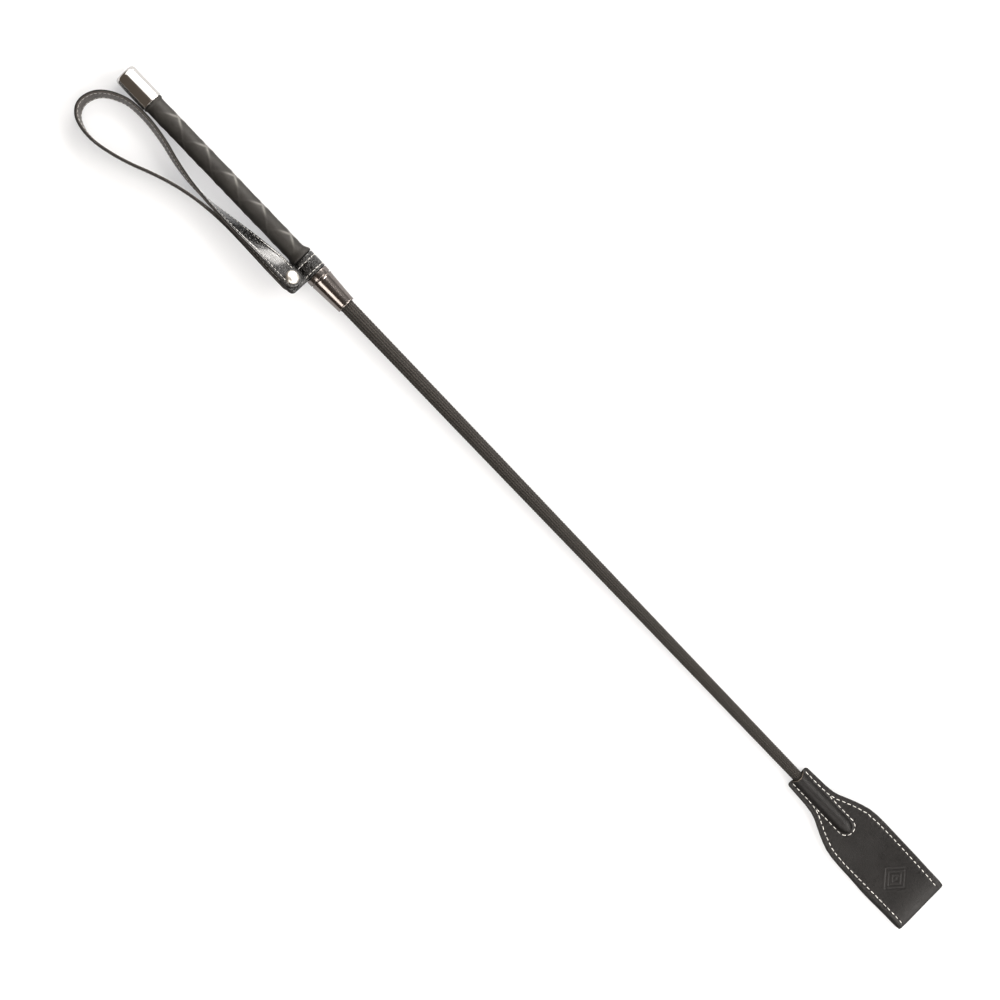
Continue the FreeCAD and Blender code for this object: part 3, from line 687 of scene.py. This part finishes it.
def leather_section(half, inner, outer, count, rows, edge, corner, seam, crown):
    """A leather's section, (across, thick): a crowned face, sewn grooves, rounded edges."""
    skin = 1 if outer > 0 else -1
    flat = np.linspace(-(half - edge), half - edge, count)
    right = [
        (half - edge + edge * math.sin(a), outer - skin * edge * (1 - math.cos(a)))
        for a in np.radians(corner)
    ]
    right = np.array(right + [(half, inner + skin * seam), (half - seam, inner)])
    face = np.column_stack([flat, outer + skin * crown(flat, rows)])
    return np.concatenate([face, right, right[::-1] * (-1, 1)])


def grooves(flat, rows, width):
    return sum(np.exp(-((flat - row) / width) ** 2) for row in rows)


def leather_sweep(name, frames, full, section, count, end_kind, materials):
    """A strap of leather along its frames, with cut edges in the second material."""
    middle, width, face, half = frames
    across = section[:, 0] * (half / full)[:, None]
    points, faces = sweep(
        middle[:, None] + width[:, None] * across[:, :, None] + face[:, None] * section[:, 1, None]
    )
    kinds = [int(count < i % len(section) < len(section) - 1) for i in range(len(faces) - 2)]
    kinds += [end_kind] * 2
    return add_mesh(name, points, faces, materials, face_material=kinds)


def strap_crown(flat, rows):
    return 0.10 * (1 - (flat / STRAP_HALF) ** 2) - 0.16 * grooves(flat, rows, 0.42)


def strap_ply(name, inner, outer, materials, slot, node):
    section = leather_section(
        STRAP_HALF, inner, outer, STRAP_COLUMNS, (-STRAP_ROW, STRAP_ROW),
        0.42, (25, 50, 75, 90), 0.14, strap_crown,
    )
    ply = leather_sweep(name, strap_frames(), STRAP_HALF, section, STRAP_COLUMNS, 0, materials)
    settle(ply, "wrist_strap", slot, node)


# ---- stitches


def stitch_rows(name, rows, pitch, length, radius):
    """Stitches along rows of (x, y, z, nx, ny, nz): each a thread that dips in at its ends."""
    around = np.linspace(0, TURN, 8, endpoint=False)
    t = np.linspace(0, 1, 7)
    points, faces, uvs = [], [], []
    for row in rows:
        path, marks = resample(row, 0.2)
        total = marks[-1]
        count = max(1, int(total / pitch))
        for number in range(count):
            start = (number + 0.5) * total / count - length / 2
            start += RANDOM.normal(0, 0.05)
            long = length * (1 + RANDOM.normal(0, 0.04))
            lean = RANDOM.normal(0, 0.05)
            where = np.clip(start + long * t, 0, total)
            spots = np.column_stack([np.interp(where, marks, path[:, k]) for k in range(6)])
            normal = unit(spots[:, 3:])
            side = np.cross(normal, unit(np.gradient(spots[:, :3], axis=0)))
            arch = np.sin(math.pi * t) ** 0.5
            lift = STITCH_RISE * arch - radius * 0.75 * (1 - arch)
            centre = spots[:, :3] + normal * lift[:, None]
            centre = centre + side * (lean * (t - 0.5) * 2)[:, None]
            fat = radius * (0.55 + 0.45 * np.sin(math.pi * np.clip(t, 0.02, 0.98)) ** 0.35)
            ring = (
                centre[:, None]
                + side[:, None] * (np.cos(around) * fat[:, None])[:, :, None]
                + normal[:, None] * (np.sin(around) * fat[:, None] * 0.72)[:, :, None]
            )
            add_sweep(ring, points, faces)
            uvs.append(spaced(t * long, np.abs(around / math.pi - 1)))
    return add_mesh(name, np.concatenate(points), faces, [THREAD], uvs=np.concatenate(uvs))


def strap_rows():
    """The stitch rows of the strap on each face, up to the rivet at both ends."""
    middle, width, face = strap_frames()[:3]
    first = np.arange(len(middle)) < len(middle) / 2
    rows = []
    for skin in (1, -1):
        for side in (1, -1):
            inner_end = np.where(first, side < 0, side > 0)
            last = RIVET_ALONG + np.where(inner_end, -2.4, 1.6)
            line = middle + width * (side * STRAP_ROW)
            line = line + face * (skin * (STRAP_SKIN - STITCH_SUNK))
            rows.append(np.column_stack([line, face * skin])[middle[:, 0] < last])
    return rows


def strap():
    strap_ply(
        "strap_outer_leather", 0.03, STRAP_SKIN, [STRAP, EDGE],
        "strap_leather", "strap_outer_ply",
    )
    strap_ply(
        "strap_inner_leather", -0.03, -STRAP_SKIN, [BACKING, BACKING_EDGE],
        "strap_backing", "strap_inner_ply",
    )
    sewing = stitch_rows("strap_sewn_stitches", strap_rows(), 2.55, 1.9, 0.22)
    settle(sewing, "wrist_strap", "white_thread", "strap_stitching")


# ---- neck band and rivet

BAND_WALL = 1.45
BAND_MIDDLE = 6.275
TAIL_MIDDLE = 0.79     # from the tab's middle plane to the middle of each tail
TAIL_REACH = 19.8
TAIL_CORNER = 2.8
BAND_BLEND = 2.5
BAND_HALF = (BAND_END - BAND_START) / 2
BAND_COLUMNS = 33      # across the band's face


def band_path():
    """The band's middle line across the neck: (outward, along the rivet's axis)."""
    centre = (BAND_MIDDLE + BAND_BLEND, TAIL_MIDDLE + BAND_BLEND)
    start = math.sqrt(centre[0] ** 2 - centre[1] ** 2)
    lift = math.atan2(centre[1], start)
    upper = [(reach, TAIL_MIDDLE) for reach in np.linspace(TAIL_REACH, start, 26)]
    for a in np.linspace(-math.pi / 2, -math.pi + lift, 8)[1:]:
        upper.append((start + BAND_BLEND * math.cos(a), centre[1] + BAND_BLEND * math.sin(a)))
    for a in np.linspace(lift, math.pi, 44)[1:-1]:
        upper.append((BAND_MIDDLE * math.cos(a), BAND_MIDDLE * math.sin(a)))
    lower = [(u, -v) for u, v in reversed(upper)]
    return np.array([*upper, (-BAND_MIDDLE, 0.0), *lower])


def band_frames():
    """Along the band: middle, outer face way and half width."""
    path = band_path()
    way = unit(np.gradient(path, axis=0))
    skin = np.column_stack([way[:, 1], -way[:, 0]])
    if skin[0, 1] < 0:
        skin = -skin
    trim = np.clip(TAIL_CORNER - TAIL_REACH + path[:, 0], 0, TAIL_CORNER)
    shrink = TAIL_CORNER - np.sqrt(TAIL_CORNER**2 - trim**2)
    return path, skin, BAND_HALF - shrink


BAND_ROWS = (0.26, 0.84)


def in_band(u, v):
    """A place across the neck, from (outward, along the rivet's axis)."""
    return np.multiply.outer(u, OUTWARD) + np.multiply.outer(v, RIVET_AXIS)


def band_crown(flat, rows):
    return 0.05 - 0.15 * grooves(flat, rows, 0.45)


def neck_band():
    path, skin, half = band_frames()
    wall = BAND_WALL / 2
    rows = [(share - 0.5) * 2 * BAND_HALF for share in BAND_ROWS]
    section = leather_section(
        BAND_HALF, -wall, wall, BAND_COLUMNS, rows, 0.4, (30, 60, 90), 0.2, band_crown
    )
    middle = in_band(*path.T) + ALONG * (BAND_START + BAND_END) / 2
    face = in_band(*skin.T)
    width = np.broadcast_to(ALONG, middle.shape)
    band = leather_sweep(
        "neck_band_leather", (middle, width, face, half), BAND_HALF, section, BAND_COLUMNS,
        1, [BAND, EDGE],
    )
    settle(band, "neck_band", "band_leather", "neck_band")
    round_neck = path[:, 0] < BAND_MIDDLE + 1.5
    spots = middle + face * (wall - STITCH_SUNK)
    sewn = [np.column_stack([spots + ALONG * row, face])[round_neck] for row in rows]
    sewing = stitch_rows("neck_band_sewn_stitches", sewn, 2.75, 2.3, 0.24)
    settle(sewing, "neck_band", "white_thread", "neck_band_stitching")


def on_rivet(piece):
    """Moves a piece turned about X to the rivet's axis."""
    turn = Vector((1, 0, 0)).rotation_difference(Vector(RIVET_AXIS))
    matrix = turn.to_matrix().to_4x4()
    matrix.translation = Vector(RIVET_CENTRE * MM)
    piece.data.transform(matrix)


def rivet():
    base = 3.58
    dome = [(base + 0.5 + 2.1 * math.cos(a), 4.1 * math.sin(a), 0.0)
            for a in np.radians([0, 12, 24, 36, 48, 60, 70, 80, 88])]
    cap = lathe("rivet_domed_cap", dome + [
        (base + 0.35, 4.2, 0.15), (base, 4.1, 0.12), (base, 1.6, 0.1), (base + 0.8, 1.6, 0.1),
        (base + 0.8, 0, 0),
    ], RIVET, around=96)
    post = lathe("rivet_post_turned", [
        (-base - 1.25, 0, 0), (-base - 1.25, 3.2, 0.5), (-base - 0.8, 4.1, 0.4),
        (-base, 4.1, 0.15), (-base, 1.5, 0.1), (base + 0.7, 1.5, 0.2), (base + 0.7, 0, 0),
    ], RIVET, around=96)
    for piece, node in ((cap, "rivet_cap"), (post, "rivet_post")):
        on_rivet(piece)
        settle(piece, "neck_band", "rivet_metal", node)


# ---- flap

SKIN_HALF = 1.85       # from the flap's middle plane to its skin, at the neck
LEATHER_WALL = 1.1
ROOF_RADIUS = 4.75
LINING_WALL = 0.42
NECK_CORNER = 1.6
EDGE_ROW_TOP = np.array([
    (548.2, 5.1), (560, 5.2), (566, 5.5), (571.7, 6.9), (577.3, 9.5), (582.9, 11.8),
    (589.1, 13.8), (595.8, 14.5), (609.9, 14.7), (638, 14.0), (646.4, 13.4),
])
EDGE_ROW_BOTTOM = np.array([
    (548.2, -4.7), (560, -4.8), (566, -5.1), (570.6, -6.2), (575.6, -8.3), (581.3, -10.9),
    (586.3, -12.8), (591.9, -14.4), (601.5, -15.1), (618.3, -14.8), (640.8, -14.5),
    (647.5, -14.7),
])
HALF_WIDTH = np.array([
    (NECK_START, 7.25), (556, 7.65), (562, 7.9), (567.8, 8.6), (571.5, 9.75), (575, 11.35),
    (580, 13.6), (584.6, 15.3), (589, 16.6), (594, 17.3), (600, BLADE_HALF),
    (625, BLADE_HALF - 0.2), (FLAP_END, BLADE_HALF - 0.8),
])
LOZENGE_X = 627.0
LOZENGES = ((7.4, 8.2), (4.6, 5.2), (1.6, 1.9))   # half length and half width of each line
SKEW = 0.03            # how far the fold runs out of square
BACK_SLIPS = ((575, 595, 0.45), (592, 606, 0.35), (604, 622, 0.75))   # each from x to x
PUCKER_PITCH = 3.3     # between the puckers that the stitches draw up
MOUTH_ROWS = 4         # of the skin that show raw leather at the neck's mouth
CREASE_INSET = 1.45    # from the flap's edge to the creased line along it
FOLD_LENGTH = 11.5     # over which the strip rounds over its end
VISIBLE_END = FLAP_END - 0.9
FOLD_START = VISIBLE_END - FOLD_LENGTH
TUNNEL_ROUND = SHAFT_TIP - 4.5
TUNNEL_END = SHAFT_TIP + 2.2


def half_width(x):
    """Half the flap's width, with the neck's corners rounded."""
    plain = np.interp(x, *HALF_WIDTH.T)
    inside = np.clip(NECK_CORNER - (x - NECK_START), 0, NECK_CORNER)
    return plain - (NECK_CORNER - np.sqrt(NECK_CORNER**2 - inside**2))


def seam_path():
    """The U-shaped row round the tunnel, (x, y)."""
    start, centre = 567.6, 586.6
    top, bottom = 5.3, -4.9
    middle, radius = (top + bottom) / 2, (top - bottom) / 2
    curve = [
        (centre + radius * math.cos(a), middle + radius * math.sin(a))
        for a in np.radians(np.arange(80, -81, -10))
    ]
    return np.array([(start, top), (centre, top), *curve, (centre, bottom), (start, bottom)])


SEWN_ROWS = (EDGE_ROW_TOP, EDGE_ROW_BOTTOM, seam_path())


def distance_to(path, x, y):
    """The distance from each place to a polyline in plan."""
    best = np.full(x.shape, 1e9)
    for (ax, ay), (bx, by) in zip(path, path[1:]):
        along = ((x - ax) * (bx - ax) + (y - ay) * (by - ay)) / ((bx - ax)**2 + (by - ay)**2)
        along = np.clip(along, 0, 1)
        away = np.hypot(x - ax - along * (bx - ax), y - ay - along * (by - ay))
        best = np.minimum(best, away)
    return best


def flap_rise(x):
    """The height of the flap's skin over its middle plane, without the tunnel."""
    opening = smoothstep(604, FOLD_START, x)
    over = np.clip((x - FOLD_START) / FOLD_LENGTH, 0, 1)
    return (SKIN_HALF + (FOLD_RADIUS - SKIN_HALF) * opening) * np.sqrt(1 - over**2)


def tunnel(x, y, roof):
    """How far the tunnel over the rod stands above the wings."""
    over = np.clip((x - TUNNEL_ROUND) / (TUNNEL_END - TUNNEL_ROUND), 0, 1)
    ends = np.sqrt(1 - over**2)
    foot = math.sqrt(roof**2 - SKIN_HALF**2)
    spot = np.abs(y) / np.maximum(ends, 0.05)
    arch = np.sqrt(np.maximum(roof**2 - np.minimum(spot, foot) ** 2, 0)) - SKIN_HALF
    skirt = 0.30 * np.exp(-((spot - foot) / 0.8) ** 2)
    return np.maximum(arch, skirt) * ends


def skin_detail(x, y, front):
    """Sewn grooves, puckers, worn edges, the sunk lozenge and soft unevenness."""
    rows = np.minimum.reduce([distance_to(row, x, y) for row in SEWN_ROWS])
    relief = -0.22 * np.exp(-(rows / 0.55) ** 2)
    relief += 0.05 * np.exp(-((rows - 1.5) / 1.0) ** 2) * np.sin(x * TURN / PUCKER_PITCH)
    relief += 0.06 * np.sin(x * 0.21 + 0.8) * np.sin(y * 0.17 + 0.4)
    border = half_width(x) - np.abs(y)
    relief -= 0.30 * (1 - smoothstep(0, 1.0, border)) ** 1.5
    relief -= 0.15 * np.exp(-((border - CREASE_INSET) / 0.32) ** 2)
    if front:
        spread = np.minimum.reduce([
            np.abs(np.abs(x - LOZENGE_X) / a + np.abs(y) / b - 1) * a * b / math.hypot(a, b)
            for a, b in LOZENGES
        ])
        relief -= 0.26 * (1 - smoothstep(0.22, 0.62, spread))
        long, wide = LOZENGES[0]
        inside = np.abs(x - LOZENGE_X) / long + np.abs(y) / wide
        relief -= 0.08 * (1 - smoothstep(0.95, 1.05, inside))
    return relief


def flap_stations():
    """Stations from the front neck round the fold to the back neck.

    Each is (x on the flat, side: 1 front or -1 back, fold angle or None).
    """
    near = NECK_START + NECK_CORNER * (1 - np.cos(np.linspace(0, math.pi / 2, 9)))
    flat = np.concatenate([near[:-1], np.arange(NECK_START + NECK_CORNER, FOLD_START, 0.42)])
    fold = np.linspace(math.pi / 2, -math.pi / 2, 41)
    return (
        [(x, 1, None) for x in flat] + [(FOLD_START, 0, a) for a in fold]
        + [(x, -1, None) for x in flat[::-1]]
    )


def back_slip(x):
    """How far the back layer lies out of line with the front one."""
    return -sum(slip * smoothstep(first, last, x) for first, last, slip in BACK_SLIPS)


def neck_mouth(x, y, side):
    """Moves the neck's front edge back in a shallow arc over the shaft."""
    recess = 2.5 * np.clip(1 - (y / 4.7) ** 2, 0, 1)
    reach = 1 - smoothstep(NECK_START, NECK_START + 6, x)
    return x + recess * reach * (1.0 if side > 0 else 0.25)


def strip(depth, inset, detail, across):
    """A grid of places on the strip, a given depth under its skin."""
    rows = []
    v = np.linspace(-1, 1, across)
    roof = ROOF_RADIUS - min(depth, LEATHER_WALL + 0.15)
    for flat_x, side, angle in flap_stations():
        y = v * (half_width(flat_x) - inset)
        x = np.full(across, float(flat_x))
        skew = -SKEW * y * smoothstep(600, FOLD_START, x)
        slip = back_slip(x)
        if angle is None:
            z = flap_rise(x) + tunnel(x, y, roof) - depth
            if detail:
                z = z + skin_detail(x, y, side > 0)
            z = side * z
            x = neck_mouth(x, y, side)
            slip = slip * (side < 0)
        else:
            slip = slip * smoothstep(-0.9, 0.9, -math.sin(angle))
            x = FOLD_START + (FOLD_LENGTH - depth) * math.cos(angle) + 0 * y
            z = (FOLD_RADIUS - depth) * math.sin(angle) + 0 * y
            if detail:
                relief = skin_detail(x, y, angle > 0)
                tilt = math.atan2(math.sin(angle) / FOLD_RADIUS, math.cos(angle) / FOLD_LENGTH)
                x = x + relief * math.cos(tilt)
                z = z + relief * math.sin(tilt)
        rows.append(np.column_stack([x + skew, y + slip, z]))
    return np.array(rows)


def layer(name, depth, wall, inset, materials, detail, across, mouth_rows=0):
    """A layer of the strip as a closed solid with rounded cut edges."""
    below = (across + 1) // 2
    skin = strip(depth, inset + 0.22, detail, across)
    under = strip(depth + wall, inset + 0.16, False, below)
    rim_high = strip(depth + wall * 0.28, inset, False, across)
    rim_low = strip(depth + wall * 0.78, inset, False, across)
    right = np.stack([rim_high[:, -1], rim_low[:, -1]], axis=1)
    left = np.stack([rim_low[:, 0], rim_high[:, 0]], axis=1)
    sections = np.concatenate([skin, right, under[:, ::-1], left], axis=1)
    points, faces = sweep(sections, close_ends=False)
    rows, columns = sections.shape[:2]
    edge_columns = set(range(across - 1, across + 2)) | set(range(across + below + 1, columns))
    mouth_columns = range(across // 6, across - across // 6)
    kinds = [
        2 if row < mouth_rows and column in mouth_columns else int(column in edge_columns)
        for row, column in (divmod(index, columns) for index in range(len(faces)))
    ]
    caps = []
    for j in range(0, across - 1, 2):
        opposite = across + 1 + below - j // 2
        caps.append((j, j + 1, j + 2, opposite - 1, opposite))
    caps.append((across - 1, across, across + 1, across + 2))
    caps.append((0, columns - 1, columns - 2, columns - 3))
    for start in (0, (rows - 1) * columns):
        faces += [tuple(start + v for v in cap) for cap in caps]
        kinds += [2] * len(caps)
    return add_mesh(name, points, faces, materials, face_material=kinds)


def skin_height(x, y):
    return flap_rise(x) + tunnel(x, y, ROOF_RADIUS)


def skin_row(path, side):
    """A stitch row in plan, laid on the skin of one side of the flap."""
    x, y = resample(path, 0.3)[0].T
    step = 0.05
    slope_x = (skin_height(x + step, y) - skin_height(x - step, y)) / (2 * step)
    slope_y = (skin_height(x, y + step) - skin_height(x, y - step)) / (2 * step)
    shift = -SKEW * y * smoothstep(600, FOLD_START, x)
    slip = back_slip(x) * (side < 0)
    return np.column_stack([
        x + shift, y + slip, side * (skin_height(x, y) - GROOVE_SEAT),
        -slope_x, -slope_y, np.full(len(x), float(side)),
    ])


def flap():
    leather = layer(
        "flap_leather_strip", 0.0, LEATHER_WALL, 0.0, [FLAP, EDGE, RAW_EDGE], True, 121,
        mouth_rows=MOUTH_ROWS,
    )
    bend_with_flap(
        leather, "flap_leather",
        "flap_neck_leather_front", "flap_neck_leather_back", "flap_blade_leather",
    )
    lining = layer(
        "flap_lining_strip", LEATHER_WALL + 0.04, LINING_WALL, 0.25, [LINING, EDGE, EDGE], False, 41
    )
    bend_with_flap(
        lining, "flap_lining",
        "flap_neck_lining_front", "flap_neck_lining_back", "flap_blade_lining",
    )
    rows = [skin_row(path, side) for side in (1, -1) for path in SEWN_ROWS]
    sewing = stitch_rows("flap_sewn_stitches", rows, 3.25, 2.35, 0.28)
    bend_with_flap(sewing, "white_thread", "flap_neck_stitching", "flap_blade_stitching")


# ---- hidden CAD parts


def finish_cad_parts():
    for node, material in (("grip_core", CORE), ("shaft_rod", ROD)):
        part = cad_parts[node]
        part.data.materials.clear()
        part.data.materials.append(material)


butt_cap()
ferrule()
grip_sleeve()
shaft()
strap()
neck_band()
rivet()
flap()


# ---- floor, light, camera

VIEW_CENTRE = (320.0, -13.3)   # under the camera
VIEW_TURN = 46.237             # degrees from the crop to the picture's right
VIEW_WIDTH = 561.6             # across the picture, at the crop
CAMERA_HEIGHT = 4000.0
SENSOR = 36.0
FLOOR_REACH = 4000.0           # from under the camera to each side
LAMP_COLOUR = (1.0, 0.975, 0.945)


def floor():
    """A plain pale floor, level with the crop's two resting places."""
    first = (GRIP_END - 1, -FLARE_RADIUS - 0.03)
    last = (FLAP_END - FOLD_RADIUS, -FOLD_RADIUS - 0.05)
    slope = (last[1] - first[1]) / (last[0] - first[0])
    corners = []
    for a, b in ((-1, -1), (1, -1), (1, 1), (-1, 1)):
        x = VIEW_CENTRE[0] + a * FLOOR_REACH
        corners.append((x, VIEW_CENTRE[1] + b * FLOOR_REACH, first[1] + slope * (x - first[0])))
    surface = Surface("pale_floor", 0.9, specular=0.2)
    surface.colour(surface.shades(surface.noise(3, 2.0), (1, 1, 1), 0.30, 0.32))
    surface.set("Emission Color", (0.98, 0.985, 1, 1))
    surface.set("Emission Strength", 0.52)
    ground = add_mesh("studio_floor", corners, [(0, 1, 2, 3)], [surface.material])


def studio():
    """Soft light from the handle's free side, dim and warm from the loop's side."""
    world = bpy.data.worlds.new("studio")
    bpy.context.scene.world = world
    world.use_nodes = True
    tree = world.node_tree
    tree.nodes.clear()
    output, coords, split, spread, lit, seen, choose, ray = (
        tree.nodes.new("ShaderNode" + kind) for kind in (
            "OutputWorld", "TexCoord", "SeparateXYZ", "MapRange", "Background", "Background",
            "MixShader", "LightPath",
        )
    )
    spread.inputs["From Min"].default_value = -1
    spread.inputs["From Max"].default_value = 1
    stops = [
        (0.00, (0.132, 0.112, 0.093)), (0.48, (0.14, 0.116, 0.098)), (0.60, (0.225, 0.21, 0.198)),
        (0.70, (0.22, 0.212, 0.204)), (0.79, (0.30, 0.293, 0.285)), (0.86, (0.50, 0.49, 0.48)),
        (0.93, (0.55, 0.54, 0.53)), (1.00, (0.36, 0.35, 0.34)),
    ]
    lit.inputs["Strength"].default_value = 1.55
    seen.inputs["Color"].default_value = (0.93, 0.93, 0.93, 1)
    for source, target in (
        (coords.outputs["Generated"], split.inputs[0]),
        (split.outputs["Y"], spread.inputs["Value"]),
        (colour_ramp(tree, spread.outputs["Result"], stops), lit.inputs["Color"]),
        (ray.outputs["Is Camera Ray"], choose.inputs["Fac"]),
        (lit.outputs[0], choose.inputs[1]),
        (seen.outputs[0], choose.inputs[2]),
        (choose.outputs[0], output.inputs["Surface"]),
    ):
        tree.links.new(source, target)


def lamp(name, where, target, size, power, card=False, fill=False):
    """A softbox, a card that only shows in what is shiny, or a fill that never does."""
    light = bpy.data.lights.new(name, "AREA")
    light.shape = "RECTANGLE"
    light.size, light.size_y = size
    light.energy = power
    light.color = LAMP_COLOUR
    holder = placed(name, light)
    holder.location = where
    aim = Vector(target) - Vector(where)
    holder.rotation_euler = aim.to_track_quat("-Z", "Y").to_euler()
    holder.visible_diffuse = not card
    holder.visible_glossy = not fill


def camera():
    data = bpy.data.cameras.new("camera")
    data.sensor_width = SENSOR
    data.lens = SENSOR * CAMERA_HEIGHT / VIEW_WIDTH
    data.clip_start = 0.01
    data.clip_end = 20
    holder = placed("camera", data)
    holder.location = (VIEW_CENTRE[0] * MM, VIEW_CENTRE[1] * MM, CAMERA_HEIGHT * MM)
    holder.rotation_euler = (0, 0, math.radians(VIEW_TURN))
    bpy.context.scene.camera = holder


finish_cad_parts()
floor()
studio()
lamp("key_softbox", (0.88, 0.82, 0.95), (0.34, 0, 0), (0.9, 0.7), 19)
lamp("overhead_fill", (0.24, 0, 1.8), (0.24, 0, 0), (1.6, 1.6), 16, fill=True)
lamp("handle_fill", (-0.10, 0.45, 0.30), (0.08, 0, 0), (0.4, 0.3), 4.1, fill=True)
lamp("end_softbox", (1.2, 0.05, 0.6), (0.63, 0, 0), (0.5, 0.36), 3.6)
lamp("cap_card", (-0.21, 0.30, 0.30), (-0.05, 0, 0), (0.5, 0.66), 1.85, card=True)
lamp("strap_card", (0.0, 0.34, 0.12), (0.10, 0, 0), (0.20, 0.24), 1.25, card=True)
lamp("end_card", (1.0, 0, 0.14), (0.65, 0, 0), (0.4, 0.26), 1.2, card=True)
lamp("side_strip", (0.57, -0.335, 0.497), (0.525, 0, 0), (0.84, 0.32), 3.9)
camera()
bpy.context.scene.view_settings.view_transform = "Standard"
bpy.context.scene.view_settings.gamma = 0.8


def plain(box):
    return [list(map(float, corner)) for corner in box]
